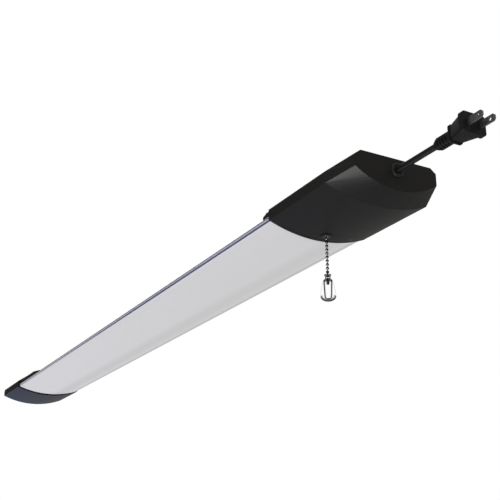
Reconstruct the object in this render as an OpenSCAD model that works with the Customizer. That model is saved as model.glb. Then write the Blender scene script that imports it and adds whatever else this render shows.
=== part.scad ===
// Hanging shop light: a long LED fixture with a metal back pan, a curved frosted
// diffuser, two end housings, a pull-chain switch and a short cord with a plug.
// The origin is the centre of the four hanging holes, on top of the back pan.
// +X points to the end with the cord and the pull chain, and +Z points up.

/* [Fixture body] */
// Length from the far end face to the end face with the cord
body_length = 1170; // [1000:10:1400]

/* [Back pan] */
// Width of the pan across its side strips
pan_width = 108.6; // [106:0.2:109.4]
// Width of the pan's flat top
pan_top_width = 67; // [66:0.5:69]
// Drop from the flat top to the bottom edge of the side strips
pan_height = 20.3; // [19.8:0.1:20.5]
// Height of the side strips
pan_side_height = 4.2; // [3.6:0.1:4.6]
// How far the lower half of a side strip leans in
pan_side_lean = 1; // [0.3:0.1:1.2]
// Thickness of the pan's sheet metal
pan_sheet = 0.8; // [0.6:0.1:1]
// Width of the lip that carries the diffuser's hooks
pan_lip = 3; // [2.6:0.1:3.4]
// Length of the pan's tongue inside each end housing
pan_tongue_length = 17.5; // [16:0.5:18]
// Width of the pan's tongue
pan_tongue_width = 92; // [84:1:96]

/* [Hanging holes] */
// Spacing of the hanging holes along the fixture
hang_spacing_x = 660; // [560:10:680]
// Spacing of the hanging holes across the fixture
hang_spacing_y = 54; // [52:1:56]
// Diameter of a hanging hole
hang_hole_d = 4.5; // [4:0.1:5.5]

/* [Diffuser] */
// Width of the diffuser
diffuser_width = 106.4; // [104:0.2:106.6]
// Depth of the diffuser's curve below its edges
diffuser_sag = 9.1; // [8.6:0.1:9.3]
// Height of the diffuser's straight edge
diffuser_edge = 0.6; // [0.4:0.1:1]
// Wall of the diffuser
diffuser_wall = 1.6; // [1.4:0.1:1.8]
// Length of the tongue that enters each end housing
diffuser_tongue_length = 6; // [5:0.5:7]
// Width of that tongue
diffuser_tongue_width = 88; // [80:1:92]
// Thickness of the snap hooks
hook_wall = 1.2; // [1:0.1:1.4]
// Reach of a snap hook's barb over the pan's lip
hook_barb = 1.4; // [1:0.1:1.8]

/* [End housings] */
// Width of the end housings
housing_width = 112.4; // [110.4:0.2:113]
// Height of the lids over the housings' side walls
lid_height = 12.5; // [12.1:0.1:12.8]
// Height of the housings' side walls
housing_side = 10.8; // [10.6:0.1:11.2]
// Depth of the housings' curved bottom below the side walls
housing_sag = 11.3; // [11.2:0.1:11.8]
// Width of the housings' flat top
housing_top_width = 76.8; // [74:0.4:78]
// Wall of the housings and their lids
housing_wall = 2.4; // [2.2:0.1:2.5]
// Length of the driver housing, at the cord end
near_length = 128.5; // [127.5:0.5:130]
// Length of the far cap
far_length = 110; // [100:0.5:120]
// Length over which the driver housing narrows to its end face
chin_length = 29.7; // [28.5:0.1:31]
// Width of the end face
face_width = 89; // [86:0.5:91]
// Drop from the housings' top to the bottom corners of the end face
face_corner_drop = 16; // [15:0.1:16.5]
// Height of the end face's sides
face_side = 11.4; // [10.4:0.1:11.6]
// Depth of the end face's curved bottom
face_sag = 14.1; // [13:0.1:14.6]
// Distance of the groove round each housing from its rim
rim_groove_setback = 3.5; // [2:0.1:5]
// Width of that groove
rim_groove_width = 0.9; // [0.5:0.1:1.5]
// Depth of that groove
rim_groove_depth = 0.5; // [0.2:0.05:0.8]
// How far the driver housing's lid reaches past the rim
near_ear_length = 14.5; // [10:0.5:18]
// How far the far cap's lid reaches past the rim
far_hood_length = 30; // [24:1:40]
// How far the arms of the far cap's lid reach past the rim
far_arm_length = 126; // [80:1:140]
// Length of the ramp at the end of an arm
arm_ramp = 33; // [20:1:40]
// Width of an arm over the pan's shoulder
arm_width = 11; // [8:0.5:14]
// Height of the side faces of those reaching parts
ear_side = 5.6; // [5.2:0.1:5.8]
// Diameter of the screw bosses
boss_d = 7; // [6.6:0.2:8]
// Diameter of the driver board's standoffs
standoff_d = 6; // [5.2:0.2:6.4]

/* [Light engine] */
// Width of an LED board
led_board_width = 18; // [16:0.5:19]
// Thickness of an LED board
led_board_thickness = 1; // [0.8:0.1:1.6]
// Distance between the two rows of LED boards
led_row_spacing = 24; // [22:0.5:26]
// Distance from the rims to the LED boards
led_end_margin = 15; // [14:1:40]
// Gap between the two boards of a row
led_board_gap = 4; // [3:0.5:6]
// Number of LEDs on a board
leds_per_board = 30; // [12:1:34]
// Length of an LED
led_length = 3.5; // [2.8:0.1:4]
// Width of an LED
led_width = 2.8; // [2:0.1:3.5]
// Height of an LED
led_height = 0.7; // [0.5:0.1:1]

/* [Driver] */
// Length of the driver board
driver_length = 60; // [58:1:61]
// Width of the driver board
driver_width = 56; // [54:1:57]
// Thickness of the driver board
driver_thickness = 1.6; // [1.2:0.1:1.8]
// Height of the driver board over the housing's floor
driver_lift = 5.9; // [5.6:0.1:6.5]
// Distance from the end face to the driver board
driver_setback = 23; // [22.5:0.5:24]

/* [Driver components] */
// Width of the transformer's core
core_width = 10; // [8:0.5:11]
// Depth of the transformer's core
core_depth = 18; // [17:0.5:20]
// Height of the transformer's core
core_height = 14; // [12:0.5:15]
// Thickness of the core's outer legs
core_leg = 3; // [2.6:0.1:3.3]
// Diameter of the core's centre leg
core_centre_d = 4; // [3:0.2:5]
// Diameter of the transformer's winding
coil_d = 11; // [9:0.5:11.4]
// Diameter of the choke
choke_d = 10; // [8:0.5:11]
// Height of the choke
choke_height = 9; // [7:0.5:12]
// Diameter of the bulk capacitor
bulk_capacitor_d = 10; // [8:0.5:11]
// Height of the bulk capacitor
bulk_capacitor_height = 15; // [12:0.5:16]
// Width of the film capacitor
film_capacitor_width = 6; // [4:0.5:6.5]
// Depth of the film capacitor
film_capacitor_depth = 16; // [12:0.5:18]
// Height of the film capacitor
film_capacitor_height = 11; // [9:0.5:12]
// Diameter of the output capacitors
output_capacitor_d = 6.3; // [5:0.1:7]
// Height of the output capacitors
output_capacitor_height = 11; // [9:0.5:12]
// Width of the bridge rectifier
rectifier_width = 7; // [5:0.5:7.5]
// Depth of the bridge rectifier
rectifier_depth = 14; // [10:0.5:16]
// Height of the bridge rectifier
rectifier_height = 3; // [2:0.1:4]
// Length of the fuse
fuse_length = 12; // [10:0.5:14]
// Diameter of the fuse
fuse_d = 5.2; // [4:0.1:6]
// Width of the terminal blocks
terminal_width = 8; // [7:0.5:9]
// Height of the terminal blocks
terminal_height = 8; // [7.5:0.1:9]

/* [Screws] */
// Diameter of the lid and pan screws
screw_d = 2.9; // [2.6:0.1:3]
// Diameter of their countersunk heads
screw_head_d = 5.6; // [5.2:0.1:6]
// Width of the cross recess in their heads
recess_width = 2.6; // [2.2:0.1:3]
// Length of the lid screws
lid_screw_length = 9; // [7:0.5:12]
// Length of the pan screws
pan_screw_length = 6; // [5:0.5:7]
// Diameter of the driver board's and switch cover's screws
small_screw_d = 2.4; // [2.2:0.1:2.5]
// Diameter of the pan heads of the small screws
small_head_d = 4.4; // [4:0.1:4.8]

/* [Pull switch] */
// Distance from the driver housing's rim to the pull chain
chain_setback = 15.5; // [15:0.1:16]
// Travel of the pull chain
pull_travel = 6; // [5:0.25:6]
// Length of the switch body
switch_length = 32; // [31:0.5:33]
// Width of the switch body
switch_width = 22; // [21.4:0.2:24]
// Height of the switch body
switch_height = 19; // [18.8:0.1:20]
// Wall of the switch body
switch_wall = 1.5; // [1.4:0.1:1.6]
// Outer diameter of the nipple that leads the chain out
nipple_d = 7; // [6.6:0.1:7.4]
// Bore of the nipple
nipple_bore = 4.6; // [4.2:0.1:4.8]
// Diameter of the ring nut on the nipple
ring_nut_d = 12; // [10:0.5:14]
// Teeth on the pull wheel
wheel_teeth = 8; // [8:1:9]
// Radius of the contact drum
drum_r = 5.5; // [5:0.1:5.6]

/* [Pull chain] */
// Diameter of a chain bead
bead_d = 3.2; // [2.8:0.1:3.4]
// Distance from bead to bead
bead_pitch = 3.8; // [3.7:0.05:4]
// Beads that hang below the pivot bead, with the end bead
hanging_beads = 12; // [6:1:16]
// Height of the bell knob
bell_height = 26.6; // [24:0.2:30]
// Largest diameter of the bell knob
bell_d = 15; // [13:0.2:17]
// Diameter of the bell knob's shoulder
bell_shoulder_d = 9; // [8.6:0.1:10]
// Diameter of the bell knob's neck
bell_neck_d = 5.4; // [5.2:0.1:6]
// Diameter of the bell knob's collar
bell_collar_d = 6.6; // [6.2:0.1:7.4]

/* [Cord and plug] */
// Diameter of the cord
cord_d = 5.6; // [5:0.1:6]
// Drop from the housings' top to the cord
cord_drop = 11.1; // [10:0.1:11.6]
// Diameter of the cord bushing's flange
bushing_flange_d = 13.6; // [12:0.2:15]
// Diameter of the hole for the cord bushing
bushing_hole_d = 10.4; // [9.6:0.1:11]
// Length of the plug from its strain relief to its face
plug_length = 44.6; // [42:0.1:48]
// Width of the plug's face
plug_width = 24.4; // [24:0.2:28]
// Height of the plug's face
plug_height = 18.2; // [17:0.2:20]
// Distance between the plug's blades
blade_spacing = 12.7; // [12.5:0.1:12.9]
// Width of a blade
blade_width = 6.35; // [6.1:0.05:6.5]
// Thickness of a blade
blade_thickness = 1.5; // [1.4:0.05:1.6]
// Length of a blade past the plug's face
blade_length = 16.5; // [16:0.5:18]

/* [Hidden] */

// Colours
black_plastic = [0.13, 0.13, 0.13];
pale_metal = [0.72, 0.72, 0.76];
frosted = [0.87, 0.87, 0.89];
zinc = [0.62, 0.63, 0.65];
brass = [0.75, 0.62, 0.32];
board_green = [0.12, 0.38, 0.22];
board_white = [0.93, 0.93, 0.91];

// Clearances
seat_gap = 0.1;
slide_gap = 0.2;
running_gap = 0.05;
body_gap = 0.3;
cut_margin = 1;
arc_steps = 24;

// Places along the fixture
end_x = body_length / 2;
near_rim_x = end_x - near_length;
far_rim_x = far_length - end_x;
chin_x = end_x - chin_length;

// Levels of the back pan, whose flat top is at zero
pan_half = pan_width / 2;
pan_top_half = pan_top_width / 2;
pan_shoulder_z = pan_side_height - pan_height;
pan_waist_z = pan_shoulder_z - pan_side_height / 2;
pan_foot_half = pan_half - pan_side_lean;
lip_half = pan_foot_half - pan_lip;
pan_outline = [
    [-lip_half, -pan_height],
    [-pan_foot_half, -pan_height],
    [-pan_half, pan_waist_z],
    [-pan_half, pan_shoulder_z],
    [-pan_top_half, 0],
    [pan_top_half, 0],
    [pan_half, pan_shoulder_z],
    [pan_half, pan_waist_z],
    [pan_foot_half, -pan_height],
    [lip_half, -pan_height]
];

// Levels of the end housings
lid_clearance = 0.3;
lip_drop = 3;
lip_wall = 1.5;
housing_top_z = lid_clearance + housing_wall;
housing_half = housing_width / 2;
housing_top_half = housing_top_width / 2;
split_z = housing_top_z - lid_height;
housing_corner_z = split_z - housing_side;
housing_floor_z = housing_corner_z - housing_sag;
face_half = face_width / 2;
face_corner_z = housing_top_z - face_corner_drop;
face_side_z = face_corner_z + face_side;
inner_floor_z = housing_floor_z + housing_wall;

// Levels of the diffuser
diffuser_half = diffuser_width / 2;
diffuser_top_z = -pan_height - seat_gap;
diffuser_corner_z = diffuser_top_z - diffuser_edge;

// Places of the screws
lid_boss_y = 32;
chin_boss_y = 30;
end_boss_inset = 13;
near_boss_setback = 32.5;
far_boss_setback = 28;
near_boss_x = [near_rim_x + near_boss_setback, end_x - end_boss_inset];
near_boss_y = [lid_boss_y, chin_boss_y];
far_boss_x = [far_rim_x - far_boss_setback, end_boss_inset - end_x];
pan_screw_y = 29;
tongue_screw_setback = 8.5;
ear_screw_inset = 12;
pan_screw_x = [
    near_rim_x + tongue_screw_setback,
    far_rim_x - tongue_screw_setback,
    far_rim_x + far_hood_length - ear_screw_inset
];
screw_hole_gap = 0.15;
ear_corner_r = 2.4;
ear_corner_drop = 1.6;
ear_corner_run = 8;
ear_cut_depth = 4;
arm_crest_inset = 3;
arm_crest_rise = 1;
arm_edge = 0.8;
countersink = (screw_head_d - screw_d) / 2;
recess_slot = 0.6;
recess_depth = 1.1;

// The pull switch
chain_x = near_rim_x + chain_setback;
chain_inset = 7;
switch_pad = 1.4;
switch_x0 = chain_x - chain_inset;
switch_x1 = switch_x0 + switch_length;
switch_floor_z = inner_floor_z + switch_pad;
switch_top_z = switch_floor_z + switch_height;
switch_in_z = switch_floor_z + switch_wall;
slider_w = 8;
slider_top_z = switch_top_z - body_gap;
slider_height = 8;
slider_x0 = switch_x0 + switch_wall + slide_gap;
slider_reach = 3.5;
slider_x1 = chain_x + slider_reach;
rack_length = 9.3;
rack_low_z = slider_top_z - rack_length;
nipple_flange = 1;
nipple_proud = 1;
nipple_end_z = housing_floor_z - nipple_proud;
pivot_drop = 2.9;
pivot_z = housing_floor_z - pivot_drop;
wheel_pitch_r = pull_travel / (PI / 2);
tooth_module = 2 * wheel_pitch_r / wheel_teeth;
pressure_angle = 25;
rack_depth = 2.2;
rack_line_x = slider_x1 + rack_depth;
wheel_x = rack_line_x + wheel_pitch_r;
wheel_drop = 7.2;
wheel_z = slider_top_z - wheel_drop;
wheel_w = 4.4;
wheel_y0 = -3.8;
drum_spacing = 1.2;
drum_y0 = wheel_y0 + wheel_w + drum_spacing;
drum_w = 6.4;
pin_d = 2;
leaf_thickness = 0.4;
leaf_w = 3.8;
leaf_inset = 2.4;
leaf_y0 = drum_y0 + leaf_inset;
leaf_drop = 4;
leaf_tab = 4;
cover_thickness = 1.5;
cover_screw_inset = [5, 3.2];
cover_screw_depth = 5;
terminal_top_z = switch_top_z + cover_thickness + leaf_tab;
tooth_play = 0.12;
rack_addendum = 0.65 * tooth_module;
rack_dedendum = 1.1 * tooth_module;
wheel_addendum = 0.8 * tooth_module;
wheel_root_r = wheel_pitch_r - tooth_module;
base_r = wheel_pitch_r * cos(pressure_angle);
spring_turns = 4.5;
spring_wire = 0.5;
spring_d = 5;
spring_rings = 90;

// The pull chain and its bell
upper_beads = 5;
bead_wall = 0.35;
link_d = 0.7;
link_head_d = 1.1;
link_play = 0.1;
swing_limit = 25;
swing_margin = 3;
swing_opening = swing_limit + asin(link_d / (bead_d - 2 * bead_wall)) + swing_margin;
socket_head_r = bead_d / 2 - bead_wall - running_gap;
socket_head_angle = 60;
end_bead_z = pivot_z - hanging_beads * bead_pitch;
bell_seat_depth = 8.7;
bell_top_z = end_bead_z + bell_seat_depth;
bell_bottom_z = bell_top_z - bell_height;
bell_neck_drop = 5.2;
bell_shoulder_z = bell_top_z - bell_neck_drop;
bell_collar_h = 1;
bell_foot_h = 4.6;
bell_floor = 2.4;
bell_wall = 0.8;
bell_core_taper = 1;
bell_core_d = bell_shoulder_d - 2 * bell_wall;
bell_bore_d = bead_d + 2 * slide_gap;

// The driver board
driver_x1 = end_x - driver_setback;
driver_x0 = driver_x1 - driver_length;
driver_z0 = inner_floor_z + driver_lift;
driver_z1 = driver_z0 + driver_thickness;
driver_hole_inset = 3.5;
driver_screw_length = 5;
transformer_x = driver_x0 + 18;
core_z0 = driver_z1 + 2;
bobbin_wall = 1;
bobbin_foot = 2.4;
bobbin_reach = 7.7;
bobbin_half = 5.5;
choke_place = [driver_x0 + 36, -17];
bulk_capacitor_place = [driver_x0 + 33, 17];
film_capacitor_x = driver_x0 + 45;
output_capacitor_places = [[driver_x0 + 7, -12], [driver_x0 + 12, -20]];
rectifier_x = driver_x0 + 34.5;
fuse_place = [driver_x1 - 7, -14];
input_x = driver_x1 - 9;
output_x = driver_x0 + 5;
terminal_y = 14;
input_length = 12;
output_length = 10;
terminal_z = driver_z1 + 6;

// The LED boards
led_run_x0 = far_rim_x + led_end_margin;
led_run_x1 = near_rim_x - led_end_margin;
led_board_length = (led_run_x1 - led_run_x0 - led_board_gap) / 2;
led_board_z1 = -pan_sheet;
led_board_z0 = led_board_z1 - led_board_thickness;
led_pitch = led_board_length / leds_per_board;
led_row_y = led_row_spacing / 2;
board_screw_y = 5.5;
board_link_y = 6;
board_link_size = [12, 5, 3];
screw_head_h = 1.5;

// The cord's exit, its route and the plug
cord_z = housing_top_z - cord_drop;
bushing_proud = 2.2;
bushing_inside = 6;
clip_thickness = 1.2;
clip_reach = 2;
exit_x = end_x + bushing_proud;
cord_reach = [0, 13, 26, 38, 51];
cord_route = [for (reach = cord_reach) [exit_x + reach, 0, cord_z]];
cord_tail_length = 14;
cord_tail_x = end_x - cord_tail_length;
plug_x = exit_x + cord_reach[len(cord_reach) - 1];
plug_face_x = plug_x + plug_length;
relief_length = 19.9;
relief_d = 11.6;
relief_taper = 4.4;
relief_groove = 1.4;
relief_groove_depth = 1.1;
relief_pitch = 3.2;
relief_shoulder = 1.6;
plug_collar_x = plug_x + relief_length + relief_shoulder;
plug_collar = 2;
plug_collar_width = 13.8;
plug_collar_height = 16;
plug_collar_r = 2.6;
plug_flange = 4.6;
plug_flange_r = 3.2;
plug_flange_x = plug_face_x - plug_flange;
plug_waist = 1.2;
plug_back_drop = 2.6;
blade_root = 7.9;
blade_nose = 1.6;
blade_hole_d = 3.1;
blade_hole_inset = 5.2;

// The leads, and the points between which they curve
lead_d = 2;
wire_y = 1.4;
lead_lap = 0.1;
lead_start = [cord_tail_x, 0, cord_z];
line_leaf_x = wheel_x + drum_r + body_gap;
load_leaf_x = wheel_x - drum_r - body_gap - leaf_thickness;
leaf_y = leaf_y0 + leaf_w / 2;
leaf_lead_z = terminal_top_z - 1;
line_lead_points = [
    lead_start + [-seat_gap, wire_y, 0],
    lead_start + [-3, wire_y, 0],
    lead_start + [-8, 5, 1],
    [driver_x0 + 30, 9, cord_z + 4.3],
    [switch_x1 + 4, 8, cord_z + 4.3],
    [line_leaf_x + 4, leaf_y, leaf_lead_z],
    [line_leaf_x + leaf_thickness + lead_lap, leaf_y, leaf_lead_z]
];
neutral_lead_points = [
    lead_start + [-seat_gap, -wire_y, 0],
    lead_start + [-4, -wire_y, 0],
    lead_start + [-9, 2, 3],
    [input_x, terminal_y - 3, cord_z + 4],
    [input_x, terminal_y - 3, terminal_z]
];
load_lead_points = [
    [load_leaf_x - lead_lap, leaf_y, leaf_lead_z],
    [load_leaf_x - 4, leaf_y, leaf_lead_z],
    [load_leaf_x - 3, 17, leaf_lead_z],
    [driver_x0 + 10, 22, cord_z + 3.4],
    [input_x - 6, terminal_y + 8, cord_z + 4.4],
    [input_x, terminal_y + 3, cord_z + 4.4],
    [input_x, terminal_y + 3, terminal_z]
];
row_jumper_x = led_run_x0 - 4;
row_jumper_end_x = led_run_x0 + 3;
board_lead_z = led_board_z0 - lead_d / 2 - lead_lap;
row_jumper_points = [
    [row_jumper_end_x, -led_row_y, board_lead_z],
    [row_jumper_x, -led_row_y, board_lead_z],
    [row_jumper_x - 1, 0, board_lead_z],
    [row_jumper_x, led_row_y, board_lead_z],
    [row_jumper_end_x, led_row_y, board_lead_z]
];

function driver_hole_places() =
    [for (x = [driver_x0 + driver_hole_inset, driver_x1 - driver_hole_inset], s = [-1, 1])
        [x, s * (driver_width / 2 - driver_hole_inset)]];

// ---------- Helpers ----------

// Extrudes an outline of [y, z] points along X.
module along_x(x0, x1) {
    translate([x0, 0, 0]) rotate([90, 0, 90]) linear_extrude(x1 - x0) children();
}

// Extrudes an outline of [x, z] points along Y.
module along_y(y0, y1) {
    translate([0, y1, 0]) rotate([90, 0, 0]) linear_extrude(y1 - y0) children();
}

module rod_x(x0, x1, y, z, d) {
    translate([x0, y, z]) rotate([0, 90, 0]) cylinder(h = x1 - x0, d = d, $fn = 48);
}

module rod_y(y0, y1, x, z, d) {
    translate([x, y1, z]) rotate([90, 0, 0]) cylinder(h = y1 - y0, d = d, $fn = 48);
}

module rod_z(z0, z1, x, y, d) {
    translate([x, y, z0]) cylinder(h = z1 - z0, d = d, $fn = 48);
}

module box(x0, x1, y0, y1, z0, z1) {
    translate([x0, y0, z0]) cube([x1 - x0, y1 - y0, z1 - z0]);
}

function arc_radius(half, sag) = (half * half + sag * sag) / (2 * sag);

// Points of a hanging arc, from -half to half, of a circle centred at [0, centre_z].
function hanging_arc(centre_z, radius, half) =
    let (reach = asin(half / radius))
    [for (i = [0:arc_steps]) let (a = reach * (2 * i / arc_steps - 1))
        [radius * sin(a), centre_z - radius * cos(a)]];

// Outline of a housing: curved bottom, upright sides, sloping shoulders, flat top.
// A wall above zero gives the outline of the inside.
function shell_outline(half, corner_z, side_z, sag, top_half, top_z, wall) =
    let (radius = arc_radius(half, sag))
    let (centre_z = corner_z - sag + radius)
    let (slope = (top_z - side_z) / (half - top_half))
    let (slant = wall * sqrt(1 + slope * slope))
    concat(
        hanging_arc(centre_z, radius - wall, half - wall),
        [[half - wall, side_z + slope * wall - slant]],
        [[top_half + (wall - slant) / slope, top_z - wall]],
        [[-top_half - (wall - slant) / slope, top_z - wall]],
        [[wall - half, side_z + slope * wall - slant]]
    );

function housing_outline(wall) =
    shell_outline(housing_half, housing_corner_z, split_z, housing_sag,
        housing_top_half, housing_top_z, wall);

function face_outline(wall) =
    shell_outline(face_half, face_corner_z, face_side_z, face_sag,
        housing_top_half, housing_top_z, wall);

function unit(v) = v / norm(v);

// Line of a sheet's other face: the path moved to its right by the thickness.
function moved_path(path, t) =
    [for (i = [0:len(path) - 1])
        let (before = unit(path[i] - path[max(i - 1, 0)] + (i == 0 ? path[1] - path[0] : [0, 0])))
        let (after = i == len(path) - 1 ? before : unit(path[i + 1] - path[i]))
        let (n0 = [before[1], -before[0]])
        let (n1 = [after[1], -after[0]])
        path[i] + t * (n0 + n1) / (1 + n0 * n1)];

module sheet(path, t) {
    moved = moved_path(path, t);
    polygon(concat(path, [for (i = [len(path) - 1:-1:0]) moved[i]]));
}

// A tube swept along points, as one polyhedron with flat ends.
function tube_point(points, i, radius, sides, j, up) =
    let (last = len(points) - 1)
    let (t = unit(points[min(i + 1, last)] - points[max(i - 1, 0)]))
    let (u = unit(cross(up, t)))
    let (v = cross(t, u))
    let (a = 360 * j / sides)
    points[i] + radius * (cos(a) * u + sin(a) * v);

module tube(points, d, sides = 8, up = [0.1, 0.2, 1]) {
    count = len(points);
    ring_points = [for (i = [0:count - 1], j = [0:sides - 1])
        tube_point(points, i, d / 2, sides, j, up)];
    walls = [for (i = [0:count - 2], j = [0:sides - 1], half = [0, 1])
        let (a = i * sides + j)
        let (b = i * sides + (j + 1) % sides)
        half == 0 ? [b, a, b + sides] : [b + sides, a, a + sides]];
    first_cap = [for (j = [0:sides - 1]) j];
    last_cap = [for (j = [sides - 1:-1:0]) (count - 1) * sides + j];
    polyhedron(ring_points, concat(walls, [first_cap, last_cap]));
}

// A smooth curve through a lead's end points and the bends between them.
function bend(p, q, r, s) = (1 - s) * (1 - s) * p + 2 * s * (1 - s) * q + s * s * r;

function lead_route(p) =
    let (last = len(p) - 1)
    concat(
        [p[0]],
        [for (i = [1:last - 1], k = [0:4])
            bend(i == 1 ? (p[0] + p[1]) / 2 : (p[i - 1] + p[i]) / 2, p[i],
                (p[i] + p[i + 1]) / 2, k / 4.001)],
        [p[last]]
    );

// A countersunk screw with its head's top at z, pointing down.
module countersunk_screw(x, y, z, length) {
    difference() {
        union() {
            translate([x, y, z - countersink])
                cylinder(h = countersink, d1 = screw_d, d2 = screw_head_d, $fn = 48);
            rod_z(z - length, z - countersink, x, y, screw_d);
        }
        for (a = [0, 90]) translate([x, y, z]) rotate([0, 0, a])
            cube([recess_width, recess_slot, 2 * recess_depth], center = true);
    }
}

module countersunk_hole(x, y, z) {
    gap = screw_hole_gap;
    translate([x, y, z - countersink])
        cylinder(h = countersink + gap, d1 = screw_d + 2 * gap, d2 = screw_head_d + 4 * gap, $fn = 48);
    rod_z(z - 3 * housing_wall, z, x, y, screw_d + 2 * gap);
}

// ---------- Back pan and diffuser ----------

module pan_sheet_metal() {
    along_x(far_rim_x + seat_gap, near_rim_x - seat_gap) sheet(pan_outline, pan_sheet);
    intersection() {
        along_x(far_rim_x - pan_tongue_length, near_rim_x + pan_tongue_length)
            sheet(pan_outline, pan_sheet);
        box(-body_length, body_length, -pan_tongue_width / 2, pan_tongue_width / 2,
            pan_shoulder_z, cut_margin);
    }
}

module back_pan() {
    color(pale_metal) difference() {
        pan_sheet_metal();
        for (x = [-1, 1], y = [-1, 1])
            rod_z(-2 * pan_sheet, cut_margin, x * hang_spacing_x / 2, y * hang_spacing_y / 2, hang_hole_d);
        for (x = pan_screw_x, y = [-1, 1])
            rod_z(-2 * pan_sheet, cut_margin, x, y * pan_screw_y, screw_d + 2 * running_gap);
        for (p = board_screw_places())
            rod_z(-2 * pan_sheet, cut_margin, p[0], p[1], small_screw_d + 2 * running_gap);
    }
}

module diffuser_outline(half, top_z) {
    radius = arc_radius(diffuser_half, diffuser_sag);
    centre_z = diffuser_corner_z - diffuser_sag + radius;
    inner = hanging_arc(centre_z, radius - diffuser_wall, half - 0.01);
    intersection() {
        polygon(concat(hanging_arc(centre_z, radius, half), [for (i = [arc_steps:-1:0]) inner[i]]));
        translate([-half, centre_z - radius]) square([2 * half, top_z - centre_z + radius]);
    }
}

module diffuser() {
    hook_half = lip_half - slide_gap;
    hook_top_z = -pan_height + pan_sheet + 2 * slide_gap + 1;
    color(frosted) {
        along_x(far_rim_x + seat_gap, near_rim_x - seat_gap) {
            diffuser_outline(diffuser_half, diffuser_top_z);
            for (side = [-1, 1]) scale([side, 1]) polygon([
                [hook_half - hook_wall, diffuser_top_z - diffuser_edge],
                [hook_half, diffuser_top_z - diffuser_edge],
                [hook_half, hook_top_z - 1],
                [hook_half + hook_barb, hook_top_z - 1],
                [hook_half, hook_top_z],
                [hook_half - hook_wall, hook_top_z]
            ]);
        }
        along_x(far_rim_x - diffuser_tongue_length, near_rim_x + diffuser_tongue_length)
            diffuser_outline(diffuser_tongue_width / 2, diffuser_top_z);
    }
}

// ---------- End housings ----------

// The driver housing's outer or inner form, with the chin that narrows to the end face.
module near_form(x0, wall) {
    along_x(x0, chin_x) polygon(housing_outline(wall));
    hull() {
        along_x(chin_x - 0.1, chin_x) polygon(housing_outline(wall));
        along_x(end_x - wall - 0.1, end_x - wall) polygon(face_outline(wall));
    }
}

module far_form(x1, wall) {
    along_x(wall - end_x, x1) polygon(housing_outline(wall));
}

// What the rims leave free: the groove outside and the socket for pan and diffuser inside.
module rim_cuts(x, inward) {
    edge = x - inward * cut_margin;
    groove = x + inward * rim_groove_setback;
    groove_end = groove + inward * rim_groove_width;
    socket = x + inward * (diffuser_tongue_length + seat_gap);
    radius = arc_radius(diffuser_half, diffuser_sag);
    centre_z = diffuser_corner_z - diffuser_sag + radius;
    difference() {
        along_x(min(groove, groove_end), max(groove, groove_end)) square(4 * housing_width, center = true);
        along_x(min(groove, groove_end) - 1, max(groove, groove_end) + 1)
            polygon(housing_outline(rim_groove_depth));
    }
    along_x(min(edge, socket), max(edge, socket)) polygon(concat(
        hanging_arc(centre_z, radius + seat_gap, diffuser_tongue_width / 2 + slide_gap),
        [[diffuser_tongue_width / 2 + slide_gap, 0], [-diffuser_tongue_width / 2 - slide_gap, 0]]
    ));
}

module boss(x, y, top_z, d) {
    rod_z(housing_floor_z - cut_margin, top_z, x, y, d);
}

module driver_bosses() {
    for (i = [0, 1], s = [-1, 1])
        boss(near_boss_x[i], s * near_boss_y[i], housing_top_z - housing_wall - seat_gap, boss_d);
    for (p = driver_hole_places()) boss(p[0], p[1], driver_z0, standoff_d);
    box(switch_x0, switch_x1, -switch_width / 2, switch_width / 2,
        housing_floor_z - cut_margin, switch_floor_z);
}

module driver_housing() {
    color(black_plastic) difference() {
        union() {
            difference() {
                near_form(near_rim_x, 0);
                near_form(near_rim_x - cut_margin, housing_wall);
                box(near_rim_x - cut_margin, end_x - housing_wall, -housing_width, housing_width,
                    split_z, housing_width);
                lip_seat(near_rim_x - cut_margin, chin_x);
            }
            intersection() {
                near_form(near_rim_x, 0);
                driver_bosses();
            }
        }
        rim_cuts(near_rim_x, 1);
        for (i = [0, 1], s = [-1, 1])
            rod_z(housing_top_z - lid_screw_length - 1, housing_top_z, near_boss_x[i], s * near_boss_y[i],
                screw_d + 2 * running_gap);
        for (p = driver_hole_places())
            rod_z(driver_z0 - driver_screw_length, driver_z0 + 1, p[0], p[1],
                small_screw_d + 2 * running_gap);
        rod_z(housing_floor_z - 2, switch_floor_z + 1, chain_x, 0, nipple_d + 2 * seat_gap);
        rod_x(end_x - 2 * housing_wall, end_x + 1, 0, cord_z, bushing_hole_d);
    }
}

// The lip inside a lid's edges, which drops between the housing's side walls.
module lid_lip(x0, x1) {
    outer = housing_half - housing_wall - seat_gap;
    for (s = [-1, 1]) scale([1, s, 1])
        box(x0, x1, outer - lip_wall, outer, split_z - lip_drop, split_z + 1);
}

// Straightens the top of the side walls for that lip.
module lip_seat(x0, x1) {
    half = housing_half - housing_wall;
    box(x0, x1, -half, half, split_z - lip_drop, split_z + 1);
}

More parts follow.
